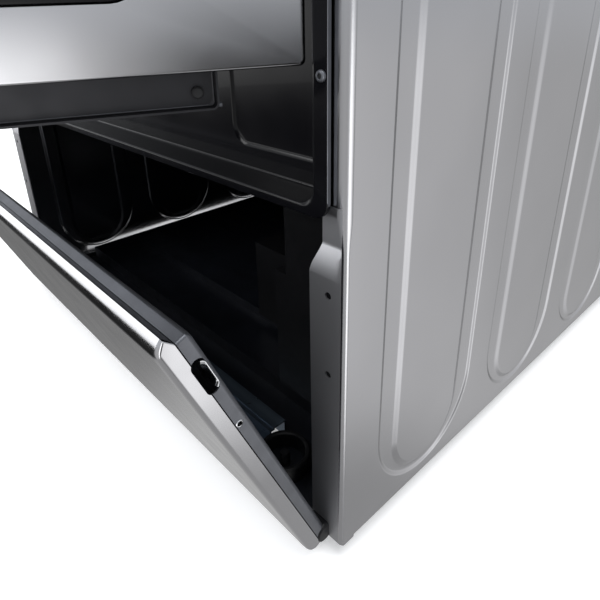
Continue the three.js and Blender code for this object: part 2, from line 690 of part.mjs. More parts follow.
// The blower's scroll: a round case run into a box that leads to the exhaust.
function blowerHousing() {
  const { x, z, radius } = BLOWER;
  const outside = join(rodY(radius, 151, 205, x, z, 28), block(58, x, 151, 205, 37, 143));
  const inside = join(rodY(radius - 2, 153, 203, x, z, 28), block(60, x, 153, 203, 39, 141));
  const inlet = rodY(40, 145, 160, x, z, 24);
  const shaftHole = rodY(9, 195, 210, x, z, 16);
  const outlet = rodY(EXHAUST.radius - 2, 195, 210, EXHAUST.x, EXHAUST.z, 28);
  return cut(outside, inside, inlet, shaftHole, outlet);
}

function blowerWheel() {
  const { x, z } = BLOWER;
  const hub = turnedY([
    [5.4, 172], [14, 172], [16, 196], [70, 196], [70, 198.5], [5.4, 198.5], [5.4, 172],
  ], x, z, 24);
  const rim = ringY(64, 70, 156, 159, x, z, 24);
  const vanes = Array.from({ length: 14 }, (_, index) => {
    const vane = new THREE.BoxGeometry(16, 42, 1.6).rotateY(0.9).translate(61, 177, 0);
    return vane.rotateY((index * Math.PI) / 7).translate(x, 0, z);
  });
  return join(hub, rim, ...vanes);
}

function lintDuct() {
  const upper = [block(-112, 112, 62.5, 78.5, 300, 386), block(100, 298, 62.5, 78.5, 300, 360)];
  const lower = [block(215, 298, 62.5, 78.5, 60, 320), block(200, 298, 62.5, 150, 60, 190)];
  const upperHollow = [block(-110.5, 110.5, 64, 77, 302, 390), block(100, 296.5, 64, 77, 302, 358.5)];
  const lowerHollow = [block(216.5, 296.5, 64, 77, 62, 330), block(201.5, 296.5, 64, 148.5, 61.5, 188.5)];
  const mouth = rodY(40, 140, 155, BLOWER.x, BLOWER.z, 24);
  return cut(join(...upper, ...lower), ...upperHollow, ...lowerHollow, mouth);
}

function lintFilter() {
  const frame = block(-108, 108, 68, 73, 304, 389);
  const windows = [-52, 52].map((x) => block(x - 46, x + 46, 60, 69.5, 312, 378));
  const grip = shapeOf([[63, 387], [78, 387], [78, 391], [74, 396], [67, 396], [63, 391]]);
  const handle = plateX(grip, -109, 109);
  return cut(join(frame, handle), ...windows);
}

function driveBelt() {
  const drum = { x: 0, z: DRUM_Z };
  const pulley = { x: BLOWER.x, z: BLOWER.z };
  const around = (Outline, grow) => beltOutline(
    { ...drum, radius: DRUM_RADIUS + BELT_CLEARANCE + grow },
    { ...pulley, radius: PULLEY_RADIUS + GAP + grow },
    Outline,
  );
  const shape = around(THREE.Shape, BELT_THICKNESS);
  shape.holes.push(around(THREE.Path, 0));
  return plateY(shape, BELT_Y, BELT_Y + BELT_WIDTH, 18);
}

// The idler's centre: against the outside of the belt's slack run, part of the way along it.
function idlerCentre() {
  const across = BLOWER.x;
  const down = BLOWER.z - DRUM_Z;
  const length = Math.hypot(across, down);
  const normal = Math.atan2(down, across) - Math.acos((DRUM_RADIUS - PULLEY_RADIUS) / length);
  const out = { x: Math.cos(normal), z: Math.sin(normal) };
  const reach = DRUM_RADIUS + BELT_CLEARANCE + BELT_THICKNESS + GAP + IDLER_RADIUS;
  const along = 265;
  return { x: out.x * reach - out.z * along, z: DRUM_Z + out.z * reach + out.x * along };
}

function idlerArm() {
  const { x, z } = idlerCentre();
  const pivot = IDLER_PIVOT;
  const angle = Math.atan2(z - pivot.z, x - pivot.x);
  const length = Math.hypot(x - pivot.x, z - pivot.z);
  const shape = new THREE.Shape();
  shape.absarc(0, 0, 12, Math.PI / 2, Math.PI * 1.5, false);
  shape.absarc(length, 0, 9, -Math.PI / 2, Math.PI / 2, false);
  const bar = plateY(shape, 420.4, 424, 6).rotateY(-angle).translate(pivot.x, 0, pivot.z);
  return cut(join(bar, rodY(4, 404, 421, x, z, 14)), rodY(5.4, 410, 430, pivot.x, pivot.z, 16));
}

function idlerPulley() {
  const { x, z } = idlerCentre();
  const r = IDLER_RADIUS;
  return turnedY([
    [4.4, 408], [r + 2, 408], [r + 2, 409], [r, 409.4], [r, 418.6], [r + 2, 419], [r + 2, 420], [4.4, 420],
    [4.4, 408],
  ], x, z, 20);
}

// ---- heat and wiring ----
function heaterBox() {
  const box = cut(block(-170, 170, 702, 754, 440, 700), block(-168, 168, 700, 752, 442, 698));
  const tab = block(50, 130, 748, 750, 420, 442);
  const thermostats = [68, 112].map((x) => rodY(9, 738, 749, x, 430, 16));
  return join(box, tab, ...thermostats);
}

// A flat zigzag of resistance strip.
function heaterElement() {
  const rows = 6;
  const pitch = 36;
  const low = 470;
  const bars = Array.from({ length: rows }, (_, row) => (
    block(-140, 140, 724, 730, low + row * pitch, low + 6 + row * pitch)
  ));
  const ends = Array.from({ length: rows - 1 }, (_, row) => {
    const [x0, x1] = row % 2 ? [134, 140] : [-140, -134];
    return block(x0, x1, 724, 730, low + row * pitch, low + 6 + (row + 1) * pitch);
  });
  return join(...bars, ...ends);
}

function terminalBlock() {
  const base = block(-290, -230, 738, 756, 72, 138);
  const screws = [85, 105, 125].map((z) => rodY(5, 754, 760.5, -260, z, 10));
  return join(base, ...screws);
}

function terminalCover() {
  const shell = block(-308, -212, 759, 774, 54, 156);
  return cut(shell, block(-306, -214, 758, 772, 56, 154), rodZ(11, 50, 60, -236, 765, 16));
}

function screw({ x, z, radius }) {
  const back = RIM_FACE_Y - 0.3;
  const top = back - 2.2;
  const profile = [[0, top], [radius * 0.6, top], [radius, back - 0.8], [radius, back], [0, back]];
  const head = turnedY(profile, x, z, 14);
  return cut(head, rodY(radius * 0.35, top - 1, top + 1, x, z, 6));
}

// ---- assembly ----
function cabinet() {
  const group = new THREE.Group();
  const side = sidePanel();
  group.add(piece('side_panel_right', side, 'graphite'));
  group.add(piece('side_panel_left', mirrored(side), 'graphite'));
  group.add(piece('rear_panel', rearPanel(), 'galvanised'));
  group.add(piece('top_panel', topPanel(), 'graphite'));
  group.add(piece('base_pan', basePan(), 'dark_steel'));
  group.add(piece('front_channel', frontChannel(), 'dark_steel'));
  group.add(piece('front_panel', frontPanel(), 'gloss_black'));
  for (const [place, hand] of [['right', 1], ['left', -1]]) {
    const socket = piece(`foot_socket_${place}`, footSocket(), 'black_plastic');
    socket.position.set(hand * FOOT_FRONT.x, FOOT_FRONT.y, 0);
    const front = piece(`foot_front_${place}`, levellingFoot(31), 'black_plastic');
    front.position.set(hand * FOOT_FRONT.x, FOOT_FRONT.y, 0);
    const rear = piece(`foot_rear_${place}`, levellingFoot(34), 'black_plastic');
    rear.position.set(hand * FOOT_REAR.x, FOOT_REAR.y, 0);
    group.add(socket, front, rear);
  }
  group.add(piece('toe_hinge_right', toeHinge(), 'black_plastic'));
  group.add(piece('toe_hinge_left', mirrored(toeHinge()), 'black_plastic'));
  group.add(piece('front_panel_screw', screw(SCREW), 'bright_steel'));
  return group;
}

function controls() {
  const group = new THREE.Group();
  group.add(piece('control_fascia', controlFascia(), 'gloss_black'));
  const lens = block(-170, -70, FASCIA_FACE_Y - 0.6, FASCIA_FACE_Y + 2, 900, 934);
  group.add(piece('display_lens', lens, 'glass'));
  group.add(piece('cycle_knob', cycleKnob(), 'silver'));
  group.add(piece('power_button', roundButton(-230), 'grey_plastic'));
  group.add(piece('start_button', roundButton(230), 'grey_plastic'));
  group.add(piece('option_button', optionButton(), 'grey_plastic'));
  return group;
}

function door() {
  const group = new THREE.Group();
  group.position.set(DOOR_AXIS.x, DOOR_AXIS.y, 0);
  group.rotation.z = radians(DOOR_OPEN_DEG);
  const shut = new THREE.Group();
  shut.position.set(-DOOR_AXIS.x, -DOOR_AXIS.y, 0);
  shut.add(piece('door_skin', doorSkin(), 'silver'));
  shut.add(piece('window_trim', windowTrim(), 'gloss_black'));
  shut.add(piece('window_glass', windowGlass(), 'glass'));
  shut.add(piece('door_inner', doorInner(), 'dark_steel'));
  shut.add(piece('door_gasket', ringY(232.5, 239, 15.9, 23.5, 0, DRUM_Z, 40), 'rubber'));
  shut.add(piece('door_strike', doorStrike(), 'bright_steel'));
  shut.add(piece('door_hinge_rail', doorHingeRail(), 'galvanised'));
  group.add(shut);
  return group;
}

function doorFittings() {
  const group = new THREE.Group();
  group.add(piece('door_hinge_lower', doorHinge(440, 1), 'dark_steel'));
  group.add(piece('door_hinge_upper', doorHinge(767, -1), 'dark_steel'));
  group.add(piece('door_catch', doorCatch(), 'black_plastic'));
  group.add(piece('door_switch', block(-284, -250, RECESS_Y + 2, 44, 660, 690), 'black_plastic'));
  return group;
}

function toePanel() {
  const group = new THREE.Group();
  group.position.set(0, TOE_AXIS.y, TOE_AXIS.z);
  group.rotation.x = radians(TOE_OPEN_DEG);
  const shut = new THREE.Group();
  shut.position.set(0, -TOE_AXIS.y, -TOE_AXIS.z);
  shut.add(piece('toe_panel_skin', toeSkin(), 'silver'));
  shut.add(piece('toe_panel_inner', toeInner(), 'dark_steel'));
  shut.add(piece('toe_panel_clip', toeClip(), 'bright_steel'));
  group.add(shut);
  return group;
}

function drumGroup() {
  const group = new THREE.Group();
  group.add(piece('front_bulkhead', frontBulkhead(), 'galvanised'));
  group.add(piece('rear_bulkhead', rearBulkhead(), 'galvanised'));
  group.add(piece('drum_front_seal', ringY(238, 245.4, 102, 112, 0, DRUM_Z, 40), 'felt'));
  group.add(piece('drum_shell', drumShell(), 'galvanised'));
  [0, 1, 2].forEach((index) => {
    const turn = (index * Math.PI * 2) / 3;
    group.add(piece(`drum_baffle_${index + 1}`, drumBaffle(turn), 'grey_plastic'));
  });
  group.add(piece('drum_roller_right', drumRoller(1), 'rubber'));
  group.add(piece('drum_roller_left', drumRoller(-1), 'rubber'));
  group.add(piece('drum_lamp', drumLamp(), 'glass'));
  return group;
}

function machinery() {
  const group = new THREE.Group();
  group.add(piece('motor_housing', motorHousing(), 'dark_steel'));
  group.add(piece('motor_rotor', motorRotor(), 'bright_steel'));
  group.add(piece('blower_housing', blowerHousing(), 'black_plastic'));
  group.add(piece('blower_wheel', blowerWheel(), 'black_plastic'));
  group.add(piece('lint_duct', lintDuct(), 'black_plastic'));
  group.add(piece('lint_filter', lintFilter(), 'grey_plastic'));
  const pipe = ringY(EXHAUST.radius - 1.2, EXHAUST.radius, 205.5, 775, EXHAUST.x, EXHAUST.z, 32);
  group.add(piece('exhaust_pipe', pipe, 'galvanised'));
  group.add(piece('drive_belt', driveBelt(), 'rubber'));
  group.add(piece('idler_arm', idlerArm(), 'galvanised'));
  group.add(piece('idler_pulley', idlerPulley(), 'black_plastic'));
  group.add(piece('heater_box', heaterBox(), 'galvanised'));
  group.add(piece('heater_element', heaterElement(), 'dark_steel'));
  group.add(piece('terminal_block', terminalBlock(), 'black_plastic'));
  group.add(piece('terminal_cover', terminalCover(), 'galvanised'));
  return group;
}

const dryer = new THREE.Group();
dryer.add(cabinet(), controls(), door(), doorFittings(), toePanel(), drumGroup(), machinery());
dryer.position.set(-FOOT_FRONT.x, -FOOT_FRONT.y, 0);

export default dryer;
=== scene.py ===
import json
import math

import bmesh
import bpy
from mathutils import Matrix, Vector


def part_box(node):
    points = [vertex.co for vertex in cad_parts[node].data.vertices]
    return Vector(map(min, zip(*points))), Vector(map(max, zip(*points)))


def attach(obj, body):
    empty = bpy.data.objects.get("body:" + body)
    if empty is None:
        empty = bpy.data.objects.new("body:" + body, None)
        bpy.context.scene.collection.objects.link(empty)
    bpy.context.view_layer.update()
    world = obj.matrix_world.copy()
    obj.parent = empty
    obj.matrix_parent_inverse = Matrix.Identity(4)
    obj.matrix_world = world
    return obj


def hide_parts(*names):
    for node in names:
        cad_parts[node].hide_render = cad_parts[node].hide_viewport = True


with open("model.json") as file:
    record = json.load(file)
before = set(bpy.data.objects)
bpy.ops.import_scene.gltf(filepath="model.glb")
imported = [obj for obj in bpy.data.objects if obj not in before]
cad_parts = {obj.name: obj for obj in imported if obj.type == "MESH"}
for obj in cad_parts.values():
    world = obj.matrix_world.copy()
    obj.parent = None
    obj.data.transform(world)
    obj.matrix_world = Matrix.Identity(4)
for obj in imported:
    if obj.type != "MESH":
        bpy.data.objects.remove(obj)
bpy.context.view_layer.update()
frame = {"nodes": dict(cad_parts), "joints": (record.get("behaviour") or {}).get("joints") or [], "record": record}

# ---- the cabinet: lengths below are in millimetres, from the middle of its front, on the floor ----
MM = 0.001
right_low, right_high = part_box("side_panel_right")
left_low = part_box("side_panel_left")[0]
MIDDLE_X = (right_high.x + left_low.x) / 2
FRONT_Y = right_low.y
HALF = (right_high.x - MIDDLE_X) / MM
DEPTH = (right_high.y - FRONT_Y) / MM
BOTTOM = right_low.z / MM
TOP = right_high.z / MM


def box_mm(node):
    """The lowest and highest corners of a CAD node, in the cabinet's millimetres."""
    origin = Vector((MIDDLE_X, FRONT_Y, 0))
    return tuple((corner - origin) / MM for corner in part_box(node))


def joint_named(name):
    return next(joint for joint in frame["joints"] if joint["name"] == name)


def open_matrix(name, angle_deg):
    """Turns a piece that is drawn shut, in millimetres, to where its joint holds it at rest."""
    joint = joint_named(name)
    pivot = Matrix.Translation(Vector(joint["pos_m"]))
    turn = Matrix.Rotation(math.radians(angle_deg), 4, Vector(joint["axis"]))
    return pivot @ turn @ pivot.inverted()


def shut_box(node, opened):
    """The corners of a node on a hinged panel with the panel shut, in the cabinet's millimetres."""
    shut = opened.inverted()
    points = [shut @ vertex.co for vertex in frame["nodes"][node].data.vertices]
    origin = Vector((MIDDLE_X, FRONT_Y, 0))
    low = Vector([min(p[i] for p in points) for i in range(3)])
    high = Vector([max(p[i] for p in points) for i in range(3)])
    return (low - origin) / MM, (high - origin) / MM


DOOR_OPEN = open_matrix("door_hinge", -joint_named("door_hinge")["range_deg"][0])
TOE_OPEN = open_matrix("toe_panel_hinge", -joint_named("toe_panel_hinge")["range_deg"][0])
CABINET = Matrix.Identity(4)
SHEET = 1.2


# ---- outlines ----
def arc(u, v, radius, start_deg, end_deg, steps):
    angles = [math.radians(start_deg + (end_deg - start_deg) * i / steps) for i in range(steps + 1)]
    return [(u + radius * math.cos(a), v + radius * math.sin(a)) for a in angles]


def circle(u, v, radius, count):
    return arc(u, v, radius, 0, 360, count)[:-1]


def rounded_rectangle(u0, u1, v0, v1, radius, steps=6):
    return (
        arc(u1 - radius, v0 + radius, radius, -90, 0, steps)
        + arc(u1 - radius, v1 - radius, radius, 0, 90, steps)
        + arc(u0 + radius, v1 - radius, radius, 90, 180, steps)
        + arc(u0 + radius, v0 + radius, radius, 180, 270, steps)
    )


def smooth(t):
    t = min(1.0, max(0.0, t))
    return t * t * (3 - 2 * t)


def across_y(outline, y):
    """An outline drawn in X and Z, set at one depth."""
    return [(u, y, v) for u, v in outline]


# ---- mesh building ----
def loft(bm, rows, closed=True):
    """Joins rows of points with quads; closed rows run all the way round."""
    made = [[bm.verts.new(point) for point in row] for row in rows]
    for row, following in zip(made, made[1:]):
        count = len(row)
        for i in range(count if closed else count - 1):
            j = (i + 1) % count
            bm.faces.new((row[i], row[j], following[j], following[i]))
    return made


def fill(bm, *loops):
    """Fills the flat area inside the first loop and outside the others."""
    edges = []
    for loop in loops:
        corners = [bm.verts.new(point) for point in loop]
        edges += [bm.edges.new(pair) for pair in zip(corners, corners[1:] + corners[:1])]
    bmesh.ops.triangle_fill(bm, use_beauty=True, use_dissolve=False, edges=edges)


def turned(bm, profile, centre_x, centre_z, count=64):
    """Revolves a profile of (radius, y) points about a line along Y."""
    rows = [across_y(circle(centre_x, centre_z, radius, count), y) for radius, y in profile]
    return loft(bm, rows)


def turned_upright(bm, profile, centre_x, centre_y, count=64):
    """Revolves a profile of (radius, z) points about a line along Z."""
    rows = [[(x, y, z) for x, y in circle(centre_x, centre_y, radius, count)] for radius, z in profile]
    return loft(bm, rows)


def finish_mesh(bm, name, outward=None, weld=0.02):
    """Welds the seams, turns the faces outward, scales to metres and makes the object."""
    bmesh.ops.remove_doubles(bm, verts=bm.verts, dist=weld)
    bmesh.ops.recalc_face_normals(bm, faces=bm.faces)
    if outward is not None:
        facing = sum((face.normal * face.calc_area() for face in bm.faces), Vector())
        if facing.dot(Vector(outward)) < 0:
            bmesh.ops.reverse_faces(bm, faces=bm.faces)
    placed = Matrix.Translation(Vector((MIDDLE_X, FRONT_Y, 0))) @ Matrix.Scale(MM, 4)
    bm.transform(placed)
    mesh = bpy.data.meshes.new(name)
    bm.to_mesh(mesh)
    bm.free()
    piece = bpy.data.objects.new(name, mesh)
    bpy.context.scene.collection.objects.link(piece)
    return piece


def thicken(piece, thickness=SHEET, inside_slot=0):
    """Gives an open sheet its thickness, on the side away from its normals."""
    modifier = piece.modifiers.new("thickness", "SOLIDIFY")
    modifier.thickness = thickness * MM
    modifier.offset = -1
    modifier.use_even_offset = True
    modifier.material_offset = inside_slot


def bake_modifiers(piece):
    evaluated = piece.evaluated_get(bpy.context.evaluated_depsgraph_get())
    piece.data = bpy.data.meshes.new_from_object(evaluated)
    piece.modifiers.clear()


def carve(piece, *cutters):
    """Cuts holes in a closed piece with the given cutters, and removes them."""
    for cutter in cutters:
        modifier = piece.modifiers.new("hole", "BOOLEAN")
        modifier.operation = "DIFFERENCE"
        modifier.solver = "EXACT"
        modifier.object = cutter
    bake_modifiers(piece)
    for cutter in cutters:
        bpy.data.objects.remove(cutter)


def peg(axis, outline, low, high):
    """A prism used as a cutter: an outline in the two other axes, run from low to high."""
    order = {"x": lambda u, v, w: (w, u, v), "y": lambda u, v, w: (u, w, v)}[axis]
    bm = bmesh.new()
    rows = loft(bm, [[order(u, v, w) for u, v in outline] for w in (low, high)])
    bm.faces.new(rows[0])
    bm.faces.new(rows[1])
    return finish_mesh(bm, "cutter")


def shade(piece, sharp_deg=32):
    piece.data.polygons.foreach_set("use_smooth", [True] * len(piece.data.polygons))
    piece.data.set_sharp_from_angle(angle=math.radians(sharp_deg))


def keep_flats_flat(piece):
    """Lets the wide faces set the shading beside their rounded edges."""
    modifier = piece.modifiers.new("flat_shading", "WEIGHTED_NORMAL")
    modifier.mode = "FACE_AREA"
    modifier.weight = 50
    modifier.keep_sharp = True


def settle(piece, body, slot, nodes, *materials, at=CABINET):
    """Gives a new piece its place, finish and CAD body."""
    piece.data.transform(at)
    piece.data.materials.clear()
    for material in materials:
        piece.data.materials.append(material)
    shade(piece)
    keep_flats_flat(piece)
    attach(piece, body)
    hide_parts(*nodes)
    return piece


# ---- materials ----
class Shader:
    """A node tree being built for one material, with its principled surface at the end."""

    def __init__(self, name, colour, roughness, metallic=0.0, **extras):
        self.material = bpy.data.materials.new(name)
        self.material.use_nodes = True
        self.tree = self.material.node_tree
        self.surface = self.tree.nodes["Principled BSDF"]
        self.surface.inputs["Base Color"].default_value = (*colour, 1)
        self.surface.inputs["Roughness"].default_value = roughness
        self.surface.inputs["Metallic"].default_value = metallic
        for socket, value in extras.items():
            self.surface.inputs[socket.replace("_", " ")].default_value = value
        self.colour = colour
        self.roughness = roughness
        self.place = self.tree.nodes.new("ShaderNodeTexCoord").outputs["Object"]
        self.height = None

    def link(self, source, target):
        self.tree.links.new(source, target)

    def stretched(self, scale):
        mapping = self.tree.nodes.new("ShaderNodeMapping")
        mapping.inputs["Scale"].default_value = scale
        self.link(self.place, mapping.inputs["Vector"])
        return mapping.outputs["Vector"]

    def noise(self, scale, detail=3.0, stretch=(1, 1, 1)):
        node = self.tree.nodes.new("ShaderNodeTexNoise")
        node.inputs["Scale"].default_value = scale
        node.inputs["Detail"].default_value = detail
        self.link(self.stretched(stretch), node.inputs["Vector"])
        return node.outputs["Fac"]

    def cells(self, scale):
        node = self.tree.nodes.new("ShaderNodeTexVoronoi")
        node.inputs["Scale"].default_value = scale
        self.link(self.place, node.inputs["Vector"])
        separate = self.tree.nodes.new("ShaderNodeSeparateColor")
        self.link(node.outputs["Color"], separate.inputs["Color"])
        return separate.outputs["Red"]

    def spread(self, factor, low, high, start=0.3, end=0.7):
        node = self.tree.nodes.new("ShaderNodeMapRange")
        node.inputs["From Min"].default_value = start
        node.inputs["From Max"].default_value = end
        node.inputs["To Min"].default_value = low
        node.inputs["To Max"].default_value = high
        self.link(factor, node.inputs["Value"])
        return node.outputs["Result"]

    def vary_colour(self, factor, amount, tint=(1, 1, 1)):
        """Moves the colour up and down by a share of itself as the factor changes."""
        mix = self.tree.nodes.new("ShaderNodeMix")
        mix.data_type = "RGBA"
        mix.inputs["A"].default_value = (*[c * (1 - amount) for c in self.colour], 1)
        mix.inputs["B"].default_value = (*[c * (1 + amount) * t for c, t in zip(self.colour, tint)], 1)
        self.link(self.spread(factor, 0, 1), mix.inputs["Factor"])
        self.link(mix.outputs["Result"], self.surface.inputs["Base Color"])

    def vary_roughness(self, factor, amount):
        value = self.spread(factor, self.roughness - amount, self.roughness + amount)
        self.link(value, self.surface.inputs["Roughness"])

    def bump(self, factor, height_mm):
        """Adds one layer of relief, of about that height."""
        node = self.tree.nodes.new("ShaderNodeBump")
        node.inputs["Strength"].default_value = 1
        node.inputs["Distance"].default_value = height_mm * MM
        self.link(factor, node.inputs["Height"])
        if self.height is not None:
            self.link(self.height, node.inputs["Normal"])
        self.height = node.outputs["Normal"]
        self.link(self.height, self.surface.inputs["Normal"])


def side_paint(name="side_paint", roughness=0.2):
    paint = Shader(name, (0.4, 0.4, 0.415), roughness, 1.0)
    paint.vary_colour(paint.noise(9, 2), 0.035)
    paint.vary_roughness(paint.noise(14), 0.02)
    paint.bump(paint.noise(240, 1), 0.0015)
    return paint.material


# The side sheets' inner faces: a dark copy of the side paint, painted shade standing in for the shade inside the
# cabinet.
def inside_painted_shade():
    paint = Shader("inside_painted_shade", (0.055, 0.058, 0.066), 0.34, 0.4)
    paint.vary_colour(paint.noise(24), 0.12)
    paint.vary_roughness(paint.noise(40), 0.06)
    paint.bump(paint.noise(900, 2), 0.003)
    return paint.material


def gloss_front():
    paint = Shader("gloss_front", (0.003, 0.003, 0.004), 0.2, Specular_IOR_Level=0.14, Coat_Weight=0.06)
    paint.vary_colour(paint.noise(30), 0.15)
    paint.vary_roughness(paint.noise(18), 0.04)
    paint.bump(paint.noise(420, 2), 0.001)
    return paint.material


def silver_skin():
    steel = Shader("silver_skin", (0.46, 0.46, 0.475), 0.16, 1.0)
    steel.vary_colour(steel.noise(12, 2), 0.03)
    steel.vary_roughness(steel.noise(30, 3), 0.03)
    steel.bump(steel.noise(240, 1), 0.0015)
    return steel.material


def frame_steel():
    steel = Shader("frame_steel", (0.135, 0.14, 0.155), 0.38, 0.8)
    steel.vary_colour(steel.noise(60), 0.1)
    steel.vary_roughness(steel.noise(90), 0.05)
    steel.bump(steel.noise(900, 2), 0.003)
    return steel.material


# Front channel steel, lighter and blue-grey, with strong bands along X: painted glints standing in for bluish
# reflections off the channel's ridges.
def channel_steel_painted_glints():
    steel = Shader("channel_steel_painted_glints", (0.13, 0.165, 0.21), 0.32, 0.85)
    steel.vary_colour(steel.noise(9, stretch=(0.04, 5, 1)), 0.7)
    steel.vary_roughness(steel.noise(70), 0.05)
    return steel.material


def door_steel():
    steel = Shader("door_steel", (0.02, 0.02, 0.023), 0.4, 0.5)
    steel.vary_colour(steel.noise(30), 0.15)
    steel.vary_roughness(steel.noise(50), 0.05)
    steel.bump(steel.noise(900, 2), 0.002)
    return steel.material


def galvanised():
    zinc = Shader("galvanised", (0.22, 0.23, 0.245), 0.42, 0.85)
    zinc.vary_colour(zinc.cells(70), 0.16)
    zinc.vary_roughness(zinc.cells(70), 0.07)
    zinc.bump(zinc.noise(600, 2), 0.003)
    return zinc.material


# Near-black steel for the parts inside the cabinet, kept this dark partly as painted shade for the cabinet's
# shaded inside.
def dark_steel():
    steel = Shader("dark_steel", (0.012, 0.014, 0.02), 0.36, 0.4)
    steel.vary_colour(steel.noise(22), 0.2)
    steel.vary_roughness(steel.noise(45), 0.08)
    steel.bump(steel.noise(800, 2), 0.003)
    return steel.material


def cast_aluminium():
    metal = Shader("cast_aluminium", (0.12, 0.125, 0.13), 0.5, 0.7)
    metal.vary_colour(metal.noise(60), 0.2)
    metal.vary_roughness(metal.noise(90), 0.08)
    metal.bump(metal.noise(700, 4), 0.03)
    return metal.material


def plastic(name, colour, roughness):
    moulding = Shader(name, colour, roughness, Specular_IOR_Level=0.3)
    moulding.vary_colour(moulding.noise(40), 0.12)
    moulding.vary_roughness(moulding.noise(160), 0.05)
    moulding.bump(moulding.noise(1400, 2), 0.006)
    return moulding.material


def rubber():
    compound = Shader("rubber", (0.01, 0.01, 0.011), 0.72)
    compound.vary_colour(compound.noise(80), 0.25)
    compound.vary_roughness(compound.noise(120), 0.08)
    compound.bump(compound.noise(1500, 4), 0.02)
    return compound.material


def felt():
    cloth = Shader("felt", (0.27, 0.25, 0.21), 0.95, Sheen_Weight=0.4)
    cloth.vary_colour(cloth.noise(500, 5), 0.3)
    cloth.bump(cloth.noise(1800, 6), 0.15)
    return cloth.material


def bright_steel():
    plate = Shader("bright_steel", (0.62, 0.63, 0.65), 0.2, 1.0)
    plate.vary_colour(plate.noise(120), 0.08)
    plate.vary_roughness(plate.noise(300), 0.06)
    plate.bump(plate.noise(1200, 2), 0.002)
    return plate.material


def dark_glass():
    glass = Shader("dark_glass", (0.02, 0.022, 0.026), 0.05, Coat_Weight=0.5)
    glass.vary_colour(glass.noise(12), 0.15)
    glass.vary_roughness(glass.noise(25), 0.02)
    return glass.material


MATERIALS = {
    "side_paint": side_paint(),
    "gloss_front": gloss_front(),
    "silver_skin": silver_skin(),
    "galvanised": galvanised(),
    "dark_steel": dark_steel(),
    "aluminium_cast": cast_aluminium(),
    # Black plastic this dark is partly the mouldings' own black and partly painted shade for the duct and blower
    # inside the cabinet.
    "black_plastic": plastic("black_plastic", (0.006, 0.006, 0.007), 0.42),
    "grey_plastic": plastic("grey_plastic", (0.11, 0.115, 0.12), 0.45),
    "rubber": rubber(),
    "felt": felt(),
    "bright_steel": bright_steel(),
    "dark_glass": dark_glass(),
}
INSIDE_PAINTED_SHADE = inside_painted_shade()
SATIN_PAINT = side_paint("satin_paint", 0.5)
FRAME_STEEL = frame_steel()
DOOR_STEEL = door_steel()
# The front channel's own finish carries painted glint lines.
OWN_FINISH = {"front_channel": channel_steel_painted_glints()}


WIDE_EDGES_MM = {"base_pan": 0.7, "front_channel": 0.7}


def dress_cad_nodes(edge_mm=0.5):
    """Every CAD node gets its slot's finish, smooth round faces and broken edges."""
    for row in frame["record"]["subparts"]:
        node = frame["nodes"][row["node"]]
        node.data.materials.clear()
        node.data.materials.append(OWN_FINISH.get(row["node"], MATERIALS[row["material_slot"]]))
        shade(node)
        tidy = node.modifiers.new("flats", "DECIMATE")
        tidy.decimate_type = "DISSOLVE"
        tidy.angle_limit = math.radians(0.5)
        edges = node.modifiers.new("edges", "BEVEL")
        edges.width = WIDE_EDGES_MM.get(row["node"], edge_mm) * MM
        edges.segments = 2
        edges.limit_method = "ANGLE"
        edges.angle_limit = math.radians(40)
        edges.harden_normals = True


# ---- side panels ----
FLANGE_WIDE = 33
FLANGE_NARROW = 27
STEP_LOW, STEP_HIGH = 252, 274
ROLL_LOW, ROLL_HIGH = 253, 273
ROLL_DEPTH = 6.5
UPPER_LEAN = 0.16
FILLET_LOW, FILLET_HIGH = 294, 303
CORNER_LOW, CORNER_HIGH = 4.5, 8.5
CORNER_END_Y = 14
CREASE_TURN = 56
REAR_RADIUS = 3
RETURN_WIDTH = 20
BOTTOM_RADIUS = 3
HOLE_HEIGHTS = (176.6, 240)
HOLE_RADIUS = 2.75
EMBOSS_DEPTH = 1.6
OUTER_SLOPE = {"side": 4.6, "end": 3.0}
INNER_SLOPE = {"side": 7.0, "end": 3.2}
RIGHT_EMBOSSES = {"centres": [108.8 + 171 * i for i in range(4)], "outer": 66.3, "inner": 45}
OUTER_ENDS = (95, 880)
INNER_ENDS = (80, 895)


def racetrack_points(y, radius, grow, ends, x, slope, steps=24):
    """One closed contour of an emboss; its slope has one width at the sides and one at the ends."""
    points = []
    for end, start in ((ends[1], 0), (ends[0], 180)):
        for i in range(steps + 1):
            a = math.radians(start + 180 * i / steps)
            width = slope["end"] + (slope["side"] - slope["end"]) * abs(math.cos(a))
            r = radius + grow * width
            points.append((x, y + r * math.cos(a), end + r * math.sin(a)))
    return points


def pressed(t):
    """The depth along a pressed slope: nearly straight, with a small radius at each end."""
    return EMBOSS_DEPTH * (0.65 * t + 0.35 * smooth(t))


def emboss(bm, y, outer, inner, steps=8):
    """A pressed ring round a raised middle. Returns its outermost contour."""
    rows = []
    for i in range(steps + 1):
        t = i / steps
        rows.append(racetrack_points(y, outer, 0.5 - t, OUTER_ENDS, HALF - pressed(t), OUTER_SLOPE))
    for i in range(steps + 1):
        t = i / steps
        rows.append(racetrack_points(y, inner, 0.5 - t, INNER_ENDS, HALF - pressed(1 - t), INNER_SLOPE))
    loft(bm, rows)
    fill(bm, rows[-1])
    return rows[0]


def corner_radius(z):
    return CORNER_LOW + (CORNER_HIGH - CORNER_LOW) * smooth((z - ROLL_HIGH) / 26)


def flange_edge(z):
    """Half of the width between the front flanges at a height: an S-curve at the step."""
    widening = (FLANGE_WIDE - FLANGE_NARROW) * smooth((z - STEP_LOW) / (STEP_HIGH - STEP_LOW))
    return HALF - FLANGE_WIDE + widening


